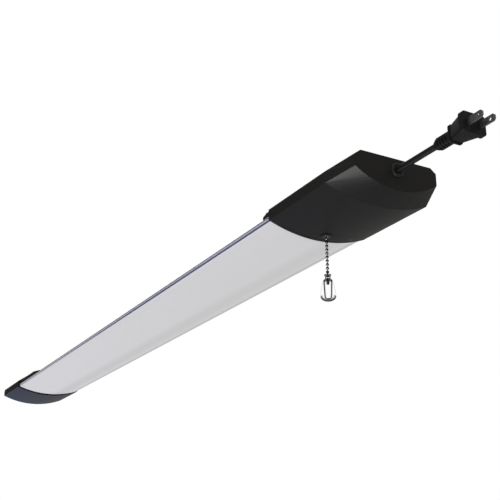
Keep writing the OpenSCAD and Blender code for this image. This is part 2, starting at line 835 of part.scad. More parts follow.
// The part of a lid that reaches past the rim, over the pan's shoulders.
module lid_ear(x0, x1, rim_x, inward) {
    side_low_z = pan_shoulder_z + lid_clearance;
    side_top_z = side_low_z + ear_side;
    slope = (housing_top_z - side_top_z) / (pan_half - housing_top_half);
    slant = housing_wall * sqrt(1 + slope * slope);
    inner_half = pan_half - housing_wall;
    behind = [rim_x - inward * seat_gap, rim_x + inward * 2];
    difference() {
        along_x(x0, x1) polygon([
            [-pan_half, side_low_z], [pan_half, side_low_z], [pan_half, side_top_z],
            [housing_top_half, housing_top_z], [-housing_top_half, housing_top_z],
            [-pan_half, side_top_z]
        ]);
        along_x(x0 - 1, x1 + 1) {
            polygon([
                [-inner_half, side_low_z - 1], [inner_half, side_low_z - 1],
                [inner_half, side_top_z + slope * housing_wall - slant],
                [housing_top_half + (housing_wall - slant) / slope, lid_clearance],
                [-housing_top_half - (housing_wall - slant) / slope, lid_clearance],
                [-inner_half, side_top_z + slope * housing_wall - slant]
            ]);
            polygon([
                [-pan_half - 1, side_low_z - 1], [-pan_half, side_low_z],
                [-pan_top_half, lid_clearance], [pan_top_half, lid_clearance],
                [pan_half, side_low_z], [pan_half + 1, side_low_z - 1]
            ]);
        }
        box(min(behind), max(behind), -pan_half, pan_half, -pan_height, split_z + seat_gap);
    }
}

module driver_housing_lid() {
    color(black_plastic) difference() {
        union() {
            difference() {
                near_form(near_rim_x, 0);
                near_form(near_rim_x - cut_margin, housing_wall);
                box(near_rim_x - 1, end_x, -housing_width, housing_width, -housing_width, split_z + seat_gap);
                box(end_x - housing_wall - seat_gap, end_x + 1, -housing_width, housing_width,
                    -housing_width, housing_width);
            }
            lid_lip(near_rim_x + pan_tongue_length, chin_x - 2);
            lid_ear(near_rim_x - near_ear_length, near_rim_x + 1, near_rim_x, 1);
        }
        ear_corner(near_rim_x - near_ear_length);
        for (i = [0, 1], s = [-1, 1])
            countersunk_hole(near_boss_x[i], s * near_boss_y[i], housing_top_z);
        for (s = [-1, 1]) countersunk_hole(pan_screw_x[0], s * pan_screw_y, housing_top_z);
    }
}

// Rounds the top corners of the near lid's reaching sides.
module ear_corner(x) {
    side_top_z = pan_shoulder_z + lid_clearance + ear_side;
    for (s = [-1, 1]) scale([1, s, 1])
        along_y(pan_half - ear_cut_depth, pan_half + 1) difference() {
            translate([x - cut_margin, side_top_z - 2 * ear_corner_r])
                square([ear_corner_r + ear_cut_depth, 3 * ear_corner_r]);
            translate([x + ear_corner_r, side_top_z - ear_corner_r - ear_corner_drop])
                circle(r = ear_corner_r, $fn = 48);
            translate([x, side_top_z - 3 * ear_corner_r])
                square([2 * ear_corner_r + ear_cut_depth, 2 * ear_corner_r - ear_corner_drop]);
            polygon([
                [x + ear_corner_r, side_top_z - ear_corner_r - ear_corner_drop],
                [x + ear_corner_r, side_top_z - ear_corner_drop],
                [x + ear_corner_r + ear_corner_run, side_top_z + 0.1],
                [x + ear_corner_r + ear_corner_run, side_top_z - ear_corner_r - ear_corner_drop]
            ]);
        }
}

// An arm of the far lid: a low rail on the pan's shoulder, with a ramp at its end.
module lid_arm(x0, x1) {
    low_z = pan_shoulder_z + lid_clearance;
    top_z = low_z + ear_side;
    pan_slope = -pan_shoulder_z / (pan_half - pan_top_half);
    inner = pan_half - arm_width;
    inner_z = low_z + arm_width * pan_slope;
    above_z = inner_z + ear_side;
    for (s = [-1, 1]) scale([1, s, 1]) difference() {
        along_x(x0, x1) polygon([
            [pan_half, low_z], [pan_half, top_z], [pan_half - arm_crest_inset, top_z + arm_crest_rise],
            [inner, inner_z + arm_edge], [inner, inner_z]
        ]);
        along_y(inner - 1, pan_half + 1) polygon([
            [x1 - arm_ramp, top_z + 0.1], [x1 + 1, low_z], [x1 + 1, above_z], [x1 - arm_ramp, above_z]
        ]);
    }
}

module far_cap() {
    color(black_plastic) difference() {
        union() {
            difference() {
                far_form(far_rim_x, 0);
                far_form(far_rim_x + cut_margin, housing_wall);
                box(housing_wall - end_x, far_rim_x + cut_margin, -housing_width, housing_width,
                    split_z, housing_width);
                lip_seat(housing_wall - end_x, far_rim_x + cut_margin);
            }
            intersection() {
                far_form(far_rim_x, 0);
                for (x = far_boss_x, s = [-1, 1])
                    boss(x, s * lid_boss_y, housing_top_z - housing_wall - seat_gap, boss_d);
            }
        }
        rim_cuts(far_rim_x, -1);
        for (x = far_boss_x, s = [-1, 1])
            rod_z(housing_top_z - lid_screw_length - 1, housing_top_z, x, s * lid_boss_y,
                screw_d + 2 * running_gap);
    }
}

module far_cap_lid() {
    color(black_plastic) difference() {
        union() {
            difference() {
                far_form(far_rim_x, 0);
                far_form(far_rim_x + cut_margin, housing_wall);
                box(-end_x, far_rim_x + 1, -housing_width, housing_width, -housing_width, split_z + seat_gap);
                box(-end_x - 1, housing_wall + seat_gap - end_x, -housing_width, housing_width,
                    -housing_width, housing_width);
            }
            lid_lip(housing_wall + 2 - end_x, far_rim_x - pan_tongue_length);
            lid_ear(far_rim_x - 1, far_rim_x + far_hood_length, far_rim_x, -1);
            lid_arm(far_rim_x + far_hood_length - 1, far_rim_x + far_arm_length);
        }
        for (x = far_boss_x, s = [-1, 1]) countersunk_hole(x, s * lid_boss_y, housing_top_z);
        for (i = [1, 2], s = [-1, 1]) countersunk_hole(pan_screw_x[i], s * pan_screw_y, housing_top_z);
    }
}

module driver_lid_screws() {
    color(zinc) for (i = [0, 1], s = [-1, 1])
        countersunk_screw(near_boss_x[i], s * near_boss_y[i], housing_top_z, lid_screw_length);
}

module far_lid_screws() {
    color(zinc) for (x = far_boss_x, s = [-1, 1])
        countersunk_screw(x, s * lid_boss_y, housing_top_z, lid_screw_length);
}

module pan_screws() {
    color(zinc) for (x = pan_screw_x, s = [-1, 1])
        countersunk_screw(x, s * pan_screw_y, housing_top_z, pan_screw_length);
}

// ---------- LED boards ----------

// Start of board i of a row, where board 0 is the far one.
function board_x(i) = led_run_x0 + i * (led_board_length + led_board_gap);

function board_screw_places() =
    [for (i = [0, 1], s = [-1, 1], k = [1:3])
        [board_x(i) + led_pitch * round(leds_per_board * (2 * k - 1) / 6),
            s * (led_row_y + board_screw_y)]];

module led_board(i, s) {
    color(board_white) difference() {
        box(board_x(i), board_x(i) + led_board_length, s * led_row_y - led_board_width / 2,
            s * led_row_y + led_board_width / 2, led_board_z0, led_board_z1);
        for (p = board_screw_places())
            rod_z(led_board_z0 - 1, led_board_z1 + 1, p[0], p[1], small_screw_d + 2 * running_gap);
    }
}

module led_board_left_near() { led_board(1, 1); }
module led_board_right_near() { led_board(1, -1); }
module led_board_left_far() { led_board(0, 1); }
module led_board_right_far() { led_board(0, -1); }

module leds() {
    color("khaki") for (i = [0, 1], s = [-1, 1], k = [0:leds_per_board - 1])
        translate([board_x(i) + led_pitch * (k + 0.5), s * led_row_y, led_board_z0 - led_height / 2])
            cube([led_length, led_width, led_height], center = true);
}

module pan_head_screw(x, y, z, length, up) {
    rod_z(up > 0 ? z : z - length, up > 0 ? z + length : z, x, y, small_screw_d);
    rod_z(up > 0 ? z - screw_head_h : z, up > 0 ? z : z + screw_head_h, x, y, small_head_d);
}

module led_board_screws() {
    color(zinc) for (p = board_screw_places())
        pan_head_screw(p[0], p[1], led_board_z0, -led_board_z0, 1);
}

// Plugs that carry the current across the gap between the boards of a row.
module led_board_links() {
    x = board_x(1) - led_board_gap / 2;
    color("ivory") for (s = [-1, 1])
        translate([x, s * (led_row_y + board_link_y), led_board_z0 - board_link_size[2] / 2])
            cube(board_link_size, center = true);
}

// ---------- Driver ----------

module driver_board() {
    color(board_green) difference() {
        box(driver_x0, driver_x1, -driver_width / 2, driver_width / 2, driver_z0, driver_z1);
        for (p = driver_hole_places())
            rod_z(driver_z0 - 1, driver_z1 + 1, p[0], p[1], small_screw_d + 2 * running_gap);
    }
}

module driver_board_screws() {
    color(zinc) for (p = driver_hole_places())
        pan_head_screw(p[0], p[1], driver_z1, driver_thickness + driver_screw_length - 1, -1);
}

module transformer_core() {
    half = core_depth / 2;
    z1 = core_z0 + core_height;
    color("dimgray") difference() {
        box(transformer_x - core_width / 2, transformer_x + core_width / 2, -half, half, core_z0, z1);
        difference() {
            box(transformer_x - core_width, transformer_x + core_width, core_leg - half, half - core_leg,
                core_z0 + core_leg, z1 - core_leg);
            rod_z(core_z0, z1, transformer_x, 0, core_centre_d);
        }
    }
}

module transformer_coil() {
    z0 = core_z0 + core_leg + seat_gap;
    z1 = core_z0 + core_height - core_leg - seat_gap;
    bore_d = core_centre_d + 2 * slide_gap;
    color("gold") difference() {
        rod_z(z0, z1, transformer_x, 0, coil_d);
        rod_z(z0 - 1, z1 + 1, transformer_x, 0, bore_d);
    }
    color("ivory") for (s = [-1, 1]) translate([transformer_x, 0, 0]) scale([s, 1, 1])
        box(bobbin_reach - bobbin_foot, bobbin_reach, -bobbin_half, bobbin_half, driver_z1, z0 + bobbin_wall);
    color("ivory") difference() {
        box(transformer_x - bobbin_reach, transformer_x + bobbin_reach, -bobbin_half, bobbin_half,
            z0, z0 + bobbin_wall);
        rod_z(z0 - 1, z0 + 2, transformer_x, 0, bore_d);
    }
}

module choke() {
    z1 = driver_z1 + choke_height;
    color("firebrick") difference() {
        rod_z(driver_z1, z1, choke_place[0], choke_place[1], choke_d);
        rod_z(z1 - 2, z1 + 1, choke_place[0], choke_place[1], choke_d / 2.5);
    }
}

module bulk_capacitor() {
    color("midnightblue") rod_z(driver_z1, driver_z1 + bulk_capacitor_height,
        bulk_capacitor_place[0], bulk_capacitor_place[1], bulk_capacitor_d);
}

module film_capacitor() {
    color("gold") board_block(film_capacitor_x, 0,
        [film_capacitor_width, film_capacitor_depth, film_capacitor_height]);
}

module output_capacitors() {
    color("midnightblue") for (p = output_capacitor_places)
        rod_z(driver_z1, driver_z1 + output_capacitor_height, p[0], p[1], output_capacitor_d);
}

module bridge_rectifier() {
    color(black_plastic) board_block(rectifier_x, 0,
        [rectifier_width, rectifier_depth, rectifier_height]);
}

module fuse() {
    y = fuse_place[1];
    color("linen") rod_y(y - fuse_length / 2, y + fuse_length / 2, fuse_place[0],
        driver_z1 + fuse_d / 2, fuse_d);
}

module board_block(x, y, size) {
    translate([x - size[0] / 2, y - size[1] / 2, driver_z1]) cube(size);
}

module terminal_block(x, length) {
    top_z = driver_z1 + terminal_height;
    difference() {
        board_block(x, terminal_y, [terminal_width, length, terminal_height]);
        for (s = [-1, 1])
            rod_z(driver_z1 + 4, top_z + 1, x, terminal_y + s * length / 4, lead_d + 1);
    }
}

module input_terminal() {
    color("seagreen") terminal_block(input_x, input_length);
}

module output_terminal() {
    color("seagreen") terminal_block(output_x, output_length);
}

// ---------- Pull switch ----------

module switch_body() {
    half = switch_width / 2;
    inner = half - switch_wall;
    cavity_x = slider_x1 - 0.7;
    color("saddlebrown") difference() {
        box(switch_x0, switch_x1, -half, half, switch_floor_z, switch_top_z);
        box(switch_x0 + switch_wall, cavity_x + 1, -slider_w / 2 - slide_gap, slider_w / 2 + slide_gap,
            switch_in_z, switch_top_z + 1);
        box(cavity_x, switch_x1 - switch_wall, -inner, inner, switch_in_z, switch_top_z + 1);
        rod_z(switch_floor_z - 1, switch_in_z + 1, chain_x, 0, nipple_d + 2 * seat_gap);
        rod_y(-half - 1, half + 1, wheel_x, wheel_z, pin_d + 2 * running_gap);
        for (s = [-1, 1])
            rod_z(switch_top_z - cover_screw_depth, switch_top_z + 1, switch_x0 + cover_screw_inset[0],
                s * (half - cover_screw_inset[1]), small_screw_d + 2 * running_gap);
    }
}

module switch_cover() {
    half = switch_width / 2;
    color("saddlebrown") difference() {
        box(switch_x0, switch_x1, -half, half, switch_top_z, switch_top_z + cover_thickness);
        for (s = [-1, 1])
            rod_z(switch_top_z - 1, switch_top_z + 3, switch_x0 + cover_screw_inset[0],
                s * (half - cover_screw_inset[1]), small_screw_d + 2 * running_gap);
        for (x = [line_leaf_x, load_leaf_x])
            box(x - seat_gap, x + leaf_thickness + seat_gap, leaf_y0 - seat_gap, leaf_y0 + leaf_w + seat_gap,
                switch_top_z - 1, switch_top_z + 3);
    }
}

module switch_cover_screws() {
    color(zinc) for (s = [-1, 1])
        pan_head_screw(switch_x0 + cover_screw_inset[0], s * (switch_width / 2 - cover_screw_inset[1]),
            switch_top_z + cover_thickness, cover_screw_depth, -1);
}

// The flanged nipple clamps the switch to the housing's floor, under the ring nut.
module switch_nipple() {
    color(zinc) difference() {
        union() {
            rod_z(nipple_end_z, switch_in_z + 0.5, chain_x, 0, nipple_d);
            rod_z(switch_in_z, switch_in_z + nipple_flange, chain_x, 0, nipple_d + 1);
        }
        rod_z(nipple_end_z - 1, switch_in_z + 3, chain_x, 0, nipple_bore);
        translate([chain_x, 0, nipple_end_z])
            cylinder(h = 1.2, d1 = nipple_bore + 1.6, d2 = nipple_bore, $fn = 48);
    }
}

module ring_nut() {
    color(black_plastic) difference() {
        rod_z(nipple_end_z + 0.1, housing_floor_z - seat_gap, chain_x, 0, ring_nut_d);
        rod_z(nipple_end_z - 1, housing_floor_z + 1, chain_x, 0, nipple_d + 2 * running_gap);
    }
}

// Involute function, in degrees.
function inv(a) = tan(a) * 180 / PI - a;

function half_tooth_angle(r) =
    90 / wheel_teeth - tooth_play / 4 / wheel_pitch_r * 180 / PI + inv(pressure_angle)
        - inv(acos(min(1, base_r / r)));

function flank_radii() = [for (k = [0:5]) base_r + (wheel_pitch_r + wheel_addendum - base_r) * k / 5];

function polar(r, a) = [r * cos(a), r * sin(a)];

module pull_wheel_outline() {
    radii = flank_radii();
    polygon([for (t = [0:wheel_teeth - 1], k = [0:13])
        let (centre = 180 + 360 * t / wheel_teeth)
        let (low = k < 7)
        let (i = low ? k - 1 : 12 - k)
        let (r = i < 0 ? wheel_root_r : radii[i])
        let (a = half_tooth_angle(max(r, base_r)))
        polar(r, centre + (low ? -a : a))]);
}

module pull_wheel() {
    color("ivory") difference() {
        translate([wheel_x, 0, wheel_z]) along_y(wheel_y0, wheel_y0 + wheel_w) pull_wheel_outline();
        rod_y(wheel_y0 - 1, wheel_y0 + wheel_w + 1, wheel_x, wheel_z, pin_d + 2 * running_gap);
    }
}

module wheel_pin() {
    color(zinc) rod_y(-switch_width / 2, switch_width / 2, wheel_x, wheel_z, pin_d);
}

module contact_drum() {
    color("ivory") difference() {
        rod_y(drum_y0, drum_y0 + drum_w, wheel_x, wheel_z, 2 * drum_r);
        rod_y(drum_y0 - 1, drum_y0 + drum_w + 1, wheel_x, wheel_z, pin_d + 2 * running_gap);
        for (a = [0, 180]) translate([wheel_x, 0, wheel_z]) rotate([0, a, 0])
            rod_y(drum_y0 + drum_w - 1, drum_y0 + drum_w + 1, drum_r / 2 + 0.6, 0, 1.6);
    }
}

module contact_leaf(x) {
    color(brass) box(x, x + leaf_thickness, leaf_y0, leaf_y0 + leaf_w, wheel_z - leaf_drop, terminal_top_z);
}

module line_contact() { contact_leaf(line_leaf_x); }
module load_contact() { contact_leaf(load_leaf_x); }

module rack_outline() {
    pitch = PI * tooth_module;
    root_x = rack_line_x - rack_dedendum;
    rise = tan(pressure_angle);
    half = pitch / 4 - tooth_play / 4;
    top_z = slider_top_z;
    first = ceil((rack_low_z + half + rack_dedendum * rise - wheel_z) / pitch - 0.5);
    last = floor((top_z - half - rack_dedendum * rise - wheel_z) / pitch - 0.5);
    polygon(concat(
        [[slider_x1 - 0.4, top_z], [slider_x1 - 0.4, rack_low_z], [root_x, rack_low_z]],
        [for (k = [first:last], c = [0:3])
            let (z = wheel_z + (k + 0.5) * pitch)
            let (tip = c == 1 || c == 2)
            let (reach = half + (tip ? -rack_addendum : rack_dedendum) * rise)
            [tip ? rack_line_x + rack_addendum : root_x, z + (c < 2 ? -reach : reach)]],
        [[root_x, top_z]]
    ));
}

module pull_slider() {
    bead_z = pivot_z + upper_beads * bead_pitch;
    pocket_d = bead_d + 2 * slide_gap;
    color("ivory") difference() {
        union() {
            box(slider_x0, slider_x1, -slider_w / 2, slider_w / 2, slider_top_z - slider_height,
                slider_top_z);
            along_y(wheel_y0 + 0.2, wheel_y0 + wheel_w - 0.2) rack_outline();
        }
        translate([chain_x, 0, bead_z]) sphere(d = pocket_d, $fn = 48);
        rod_z(slider_top_z - slider_height - 1, bead_z, chain_x, 0, 1.8);
    }
}

module return_spring() {
    z0 = switch_in_z + nipple_flange + spring_wire / 2 + running_gap;
    z1 = slider_top_z - slider_height - spring_wire / 2 - running_gap;
    coil = [for (i = [0:spring_rings]) let (part = i / spring_rings)
        let (a = 360 * spring_turns * part)
        [chain_x + spring_d / 2 * cos(a), spring_d / 2 * sin(a), z0 + (z1 - z0) * part]];
    color(zinc) tube(coil, spring_wire, 6);
    echo(spring_gap = (z1 - z0) / spring_turns - spring_wire);
}

// ---------- Pull chain ----------

module bead(z) {
    translate([chain_x, 0, z]) difference() {
        sphere(d = bead_d, $fn = 48);
        sphere(d = bead_d - 2 * bead_wall, $fn = 48);
        translate([0, 0, -bead_d]) cylinder(h = 2 * bead_d, d = link_d + 2 * link_play, $fn = 32);
    }
}

// The link between the bead at z and the one below it. Its end in the pivot bead
// is a mushroom head, which turns in that bead as in a ball socket.
module link(z, socket_above = false, socket_below = false) {
    inset = bead_d / 2 - bead_wall - link_head_d / 2 - link_play / 2;
    translate([chain_x, 0, z - bead_pitch / 2]) {
        cylinder(h = bead_pitch - 2 * inset, d = link_d, center = true, $fn = 32);
        for (s = [-1, 1]) scale([1, 1, s])
            if (s > 0 ? socket_above : socket_below) socket_head();
            else translate([0, 0, bead_pitch / 2 - inset]) sphere(d = link_head_d, $fn = 32);
    }
}

module socket_head() {
    translate([0, 0, bead_pitch / 2]) intersection() {
        sphere(r = socket_head_r, $fn = 48);
        translate([0, 0, -2 * socket_head_r])
            cylinder(h = 2 * socket_head_r - 0.1, r1 = 2 * socket_head_r * tan(socket_head_angle),
                r2 = 0.1 * tan(socket_head_angle), $fn = 48);
    }
}

module upper_chain_beads() {
    color(zinc) for (k = [1:upper_beads]) bead(pivot_z + k * bead_pitch);
}

module upper_chain_links() {
    color(zinc) for (k = [1:upper_beads]) link(pivot_z + k * bead_pitch, false, k == 1);
}

module pivot_bead() {
    opening = bead_d * tan(swing_opening);
    color(zinc) translate([chain_x, 0, pivot_z]) difference() {
        sphere(d = bead_d, $fn = 48);
        sphere(d = bead_d - 2 * bead_wall, $fn = 48);
        cylinder(h = bead_d, r1 = 0, r2 = opening, $fn = 48);
        translate([0, 0, -bead_d]) cylinder(h = bead_d, r1 = opening, r2 = 0, $fn = 48);
    }
}

module chain_beads() {
    color(zinc) for (k = [1:hanging_beads]) bead(pivot_z - k * bead_pitch);
}

module chain_links() {
    color(zinc) for (k = [0:hanging_beads - 1]) link(pivot_z - k * bead_pitch, k == 0, false);
}

// A clear bell: collar, neck, shoulder, flaring skirt and a rounded foot, round a hollow core.
// The end bead hangs in a seat at the core's top and carries the bell.
module bell_knob() {
    flare_z = bell_bottom_z + bell_foot_h;
    skirt_top_z = bell_shoulder_z - 0.6;
    core_z = bell_bottom_z + bell_floor;
    skirt = [for (i = [1:7]) let (s = i / 7)
        [(bell_shoulder_d + (bell_d - bell_shoulder_d) * sin(90 * s)) / 2,
            skirt_top_z + (flare_z - skirt_top_z) * s]];
    foot = [for (i = [1:8]) let (a = 90 * i / 8)
        [bell_d / 2 * cos(a), flare_z - bell_foot_h * sin(a)]];
    color([0.9, 0.95, 1, 0.5]) translate([chain_x, 0, 0]) difference() {
        rotate_extrude($fn = 64) polygon(concat(
            [[0, bell_top_z], [bell_collar_d / 2, bell_top_z],
             [bell_collar_d / 2, bell_top_z - bell_collar_h],
             [bell_neck_d / 2, bell_top_z - bell_collar_h - (bell_collar_d - bell_neck_d) / 2],
             [bell_neck_d / 2, bell_shoulder_z + 0.8],
             [bell_shoulder_d / 2 - 0.5, bell_shoulder_z], [bell_shoulder_d / 2, skirt_top_z]],
            skirt, foot));
        translate([0, 0, core_z])
            cylinder(h = end_bead_z - 0.4 - core_z, d1 = bell_core_d - bell_core_taper,
                d2 = bell_core_d, $fn = 48);
        translate([0, 0, end_bead_z]) sphere(d = bell_bore_d, $fn = 48);
        translate([0, 0, end_bead_z]) cylinder(h = bead_pitch, d = link_d + 2 * slide_gap, $fn = 32);
        translate([0, 0, end_bead_z + bead_pitch]) sphere(d = bell_bore_d, $fn = 48);
        translate([0, 0, end_bead_z + bead_pitch]) cylinder(h = bead_pitch * 2, d = bell_bore_d, $fn = 48);
    }
}

// ---------- Cord and plug ----------

module cord_bushing() {
    color(black_plastic) difference() {
        union() {
            rod_x(end_x + running_gap, exit_x, 0, cord_z, bushing_flange_d);
            rod_x(end_x - housing_wall - bushing_inside, exit_x, 0, cord_z, bushing_hole_d - 2 * seat_gap);
        }
        rod_x(end_x - 20, end_x + 20, 0, cord_z, cord_d + 2 * running_gap);
    }
}

// The spring clip that holds the bushing from inside.
module bushing_clip() {
    x1 = end_x - housing_wall - seat_gap;
    color(zinc) difference() {
        rod_x(x1 - clip_thickness, x1, 0, cord_z, bushing_hole_d + 2 * clip_reach);
        rod_x(x1 - 3, x1 + 3, 0, cord_z, bushing_hole_d - 2 * seat_gap + 2 * running_gap);
    }
}

// The cord's jacket from the bushing's outer face to where its wires part inside.
module cord_tail() {
    color(black_plastic) rod_x(cord_tail_x, exit_x, 0, cord_z, cord_d);
}

module cord() {
    color(black_plastic) tube(cord_route, cord_d, 12);
}

module plug_slab(x0, x1, w, h, r) {
    along_x(x0, x1) translate([0, cord_z]) hull()
        for (y = [-1, 1], z = [-1, 1]) translate([y * (w / 2 - r), z * (h / 2 - r)]) circle(r = r, $fn = 24);
}

module plug_body() {
    color(black_plastic) difference() {
        union() {
            translate([plug_x, 0, cord_z]) rotate([0, 90, 0])
                cylinder(h = relief_taper, d1 = cord_d + 2, d2 = relief_d, $fn = 48);
            rod_x(plug_x + relief_taper, plug_collar_x + 1, 0, cord_z, relief_d);
            plug_slab(plug_collar_x, plug_collar_x + plug_collar, plug_collar_width,
                plug_collar_height, plug_collar_r);
            hull() {
                plug_slab(plug_collar_x + 1, plug_collar_x + 2, plug_collar_width - 1,
                    plug_collar_height - 2, plug_collar_r);
                plug_slab(plug_flange_x, plug_flange_x + 1, plug_width - plug_waist,
                    plug_height - plug_back_drop, plug_flange_r);
            }
            plug_slab(plug_flange_x, plug_face_x, plug_width, plug_height, plug_flange_r);
        }
        for (k = [0:3]) translate([plug_x + relief_taper + 1.6 + relief_pitch * k, 0, 0]) difference() {
            rod_x(0, relief_groove, 0, cord_z, relief_d + 2);
            rod_x(-1, relief_groove + 1, 0, cord_z, relief_d - 2 * relief_groove_depth);
        }
        for (s = [-1, 1])
            box(plug_face_x - blade_root - seat_gap, plug_face_x + 1,
                (s * blade_spacing - blade_thickness) / 2 - running_gap,
                (s * blade_spacing + blade_thickness) / 2 + running_gap,
                cord_z - blade_width / 2 - running_gap, cord_z + blade_width / 2 + running_gap);
    }
}

module plug_blade(s) {
    x1 = plug_face_x + blade_length;
    y = s * blade_spacing / 2;
    color(brass) difference() {
        along_y(y - blade_thickness / 2, y + blade_thickness / 2) polygon([
            [plug_face_x - blade_root, cord_z - blade_width / 2],
            [x1 - blade_nose, cord_z - blade_width / 2],
            [x1, cord_z - blade_width / 2 + blade_nose],
            [x1, cord_z + blade_width / 2 - blade_nose],
            [x1 - blade_nose, cord_z + blade_width / 2],
            [plug_face_x - blade_root, cord_z + blade_width / 2]
        ]);
        rod_y(y - 2, y + 2, x1 - blade_hole_inset, cord_z, blade_hole_d);
    }
}

module plug_blade_left() { plug_blade(1); }
module plug_blade_right() { plug_blade(-1); }

// ---------- Internal leads ----------

module line_lead() {
    color("black") tube(lead_route(line_lead_points), lead_d);
}

module neutral_lead() {
    color("white") tube(lead_route(neutral_lead_points), lead_d, 8, [0.9, 0.3, 0.1]);
}

module load_lead() {
    color("red") tube(lead_route(load_lead_points), lead_d, 8, [0.1, 0.3, 0.9]);
}

// The leads from the output terminal to the ends of the LED rows.
module led_lead(s, hue) {
    y = s * (led_row_y + 5);
    terminal = terminal_y + s * output_length / 4;
    color(hue) tube(lead_route([
        [output_x, terminal, terminal_z],
        [output_x, terminal, terminal_z + 6.9],
        [output_x + s, s * 17, terminal_z + 8.9],
        [driver_x0 - 5, s * 20, terminal_z + 8.9],
        [near_rim_x + 16, s * 19, terminal_z + 9.9],
        [led_run_x1 + 6, y, led_board_z0 - 2],
        [led_run_x1 - 3, y, board_lead_z]
    ]), lead_d, 8, [0.1, 0.9, 0.2]);
}

module led_lead_plus() { led_lead(1, "red"); }
module led_lead_minus() { led_lead(-1, "black"); }

module row_jumper() {
    color("red") tube(lead_route(row_jumper_points), lead_d);
}

back_pan();
diffuser();
driver_housing();
driver_housing_lid();
far_cap();
far_cap_lid();
driver_lid_screws();
far_lid_screws();
pan_screws();
led_board_left_near();
led_board_right_near();
led_board_left_far();
led_board_right_far();
leds();
led_board_screws();
led_board_links();
row_jumper();
driver_board();
driver_board_screws();
transformer_core();
transformer_coil();
choke();
bulk_capacitor();
film_capacitor();
output_capacitors();
bridge_rectifier();
fuse();
input_terminal();
output_terminal();
switch_body();
switch_cover();
switch_cover_screws();
switch_nipple();
ring_nut();
pull_slider();
return_spring();
pull_wheel();
wheel_pin();
contact_drum();
line_contact();
load_contact();
upper_chain_beads();
upper_chain_links();
pivot_bead();
chain_beads();
chain_links();
bell_knob();
cord_bushing();
bushing_clip();
cord_tail();
cord();
plug_body();
plug_blade_left();
plug_blade_right();
line_lead();
neutral_lead();
load_lead();
led_lead_plus();
led_lead_minus();
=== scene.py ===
from math import atan2, cos, degrees, pi, radians, sin

import bmesh
import bpy
from mathutils import Matrix, Vector


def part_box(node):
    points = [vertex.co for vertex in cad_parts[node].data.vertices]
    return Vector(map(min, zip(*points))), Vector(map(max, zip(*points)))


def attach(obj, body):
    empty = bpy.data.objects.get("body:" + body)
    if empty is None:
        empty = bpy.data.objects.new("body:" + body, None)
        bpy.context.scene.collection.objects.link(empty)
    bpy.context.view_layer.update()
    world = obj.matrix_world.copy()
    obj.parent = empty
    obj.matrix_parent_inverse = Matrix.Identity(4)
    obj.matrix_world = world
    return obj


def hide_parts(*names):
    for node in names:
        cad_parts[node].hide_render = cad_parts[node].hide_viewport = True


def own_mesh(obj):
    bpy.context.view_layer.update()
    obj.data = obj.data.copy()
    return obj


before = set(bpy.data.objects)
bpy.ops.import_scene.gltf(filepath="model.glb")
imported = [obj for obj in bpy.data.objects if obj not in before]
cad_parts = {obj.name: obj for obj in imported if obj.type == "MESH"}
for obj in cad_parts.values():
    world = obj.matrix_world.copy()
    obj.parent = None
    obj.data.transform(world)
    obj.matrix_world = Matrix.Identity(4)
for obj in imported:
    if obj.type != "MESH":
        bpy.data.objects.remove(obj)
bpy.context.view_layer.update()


# ---- Camera ----
# The light hangs above eye level and is seen from below, from the end with the
# cord, a little to the right. The lens is a short telephoto.
camera_data = bpy.data.cameras.new("photo_camera")
camera_data.lens = 62.04
camera_data.sensor_width = 36
camera_data.clip_start = 0.05
camera_data.clip_end = 100
camera = bpy.data.objects.new("photo_camera", camera_data)
camera.location = (1.12506, -0.44269, -0.33506)
camera.rotation_euler = (radians(110.174), radians(-0.034), radians(61.286))
bpy.context.scene.collection.objects.link(camera)
bpy.context.scene.camera = camera


# ---- Cord ----
# A short round cord in a black vinyl jacket, stiff enough to stand straight out of
# the end face. It runs from the bushing to the moulded plug.
cord_exit = (0.5872, 0, -0.0084)
cord_reach = (0, 0.013, 0.026, 0.038, 0.051)
cord_width = 0.0056

cord_curve = bpy.data.curves.new("cord_jacket", "CURVE")
cord_curve.dimensions = "3D"
cord_curve.bevel_depth = cord_width / 2
cord_curve.bevel_resolution = 8
cord_curve.use_fill_caps = True
cord_line = cord_curve.splines.new("POLY")
cord_line.points.add(len(cord_reach) - 1)
for point, reach in zip(cord_line.points, cord_reach):
    point.co = (cord_exit[0] + reach, cord_exit[1], cord_exit[2], 1)
cord_line.use_smooth = True
cord = bpy.data.objects.new("cord_jacket", cord_curve)
bpy.context.scene.collection.objects.link(cord)


def new_finish(name, colour, roughness, metallic=0.0, specular=0.5):
    """A material with its constants set on the shader's own sockets."""
    finish = bpy.data.materials.new(name)
    finish.use_nodes = True
    shader = shader_of(finish)
    shader.inputs["Base Color"].default_value = (*colour, 1)
    shader.inputs["Roughness"].default_value = roughness
    shader.inputs["Metallic"].default_value = metallic
    shader.inputs["Specular IOR Level"].default_value = specular
    return finish


def shader_of(finish):
    """The finish's own shader."""
    return finish.node_tree.nodes["Principled BSDF"]


def add_node(finish, kind, **sockets):
    """A node whose inputs are linked to sockets or set to values. i0 is input 0."""
    node = finish.node_tree.nodes.new(kind)
    for name, value in sockets.items():
        socket = node.inputs[int(name[1:]) if name[1:].isdigit() else name.replace("_", " ")]
        if isinstance(value, bpy.types.NodeSocket):
            finish.node_tree.links.new(value, socket)
        else:
            socket.default_value = value
    return node


def wire(finish, source, name):
    """Links a socket to the shader's input of that name."""
    finish.node_tree.links.new(source, shader_of(finish).inputs[name])


def place_on(finish, centre=(0, 0, 0), stretch=(1, 1, 1)):
    """Object coordinates from a centre, stretched, in metres."""
    where = add_node(finish, "ShaderNodeTexCoord").outputs["Object"]
    shifted = add_node(finish, "ShaderNodeVectorMath", i0=where, i1=centre)
    shifted.operation = "SUBTRACT"
    return add_node(
        finish, "ShaderNodeMapping", Vector=shifted.outputs[0], Scale=stretch
    ).outputs["Vector"]


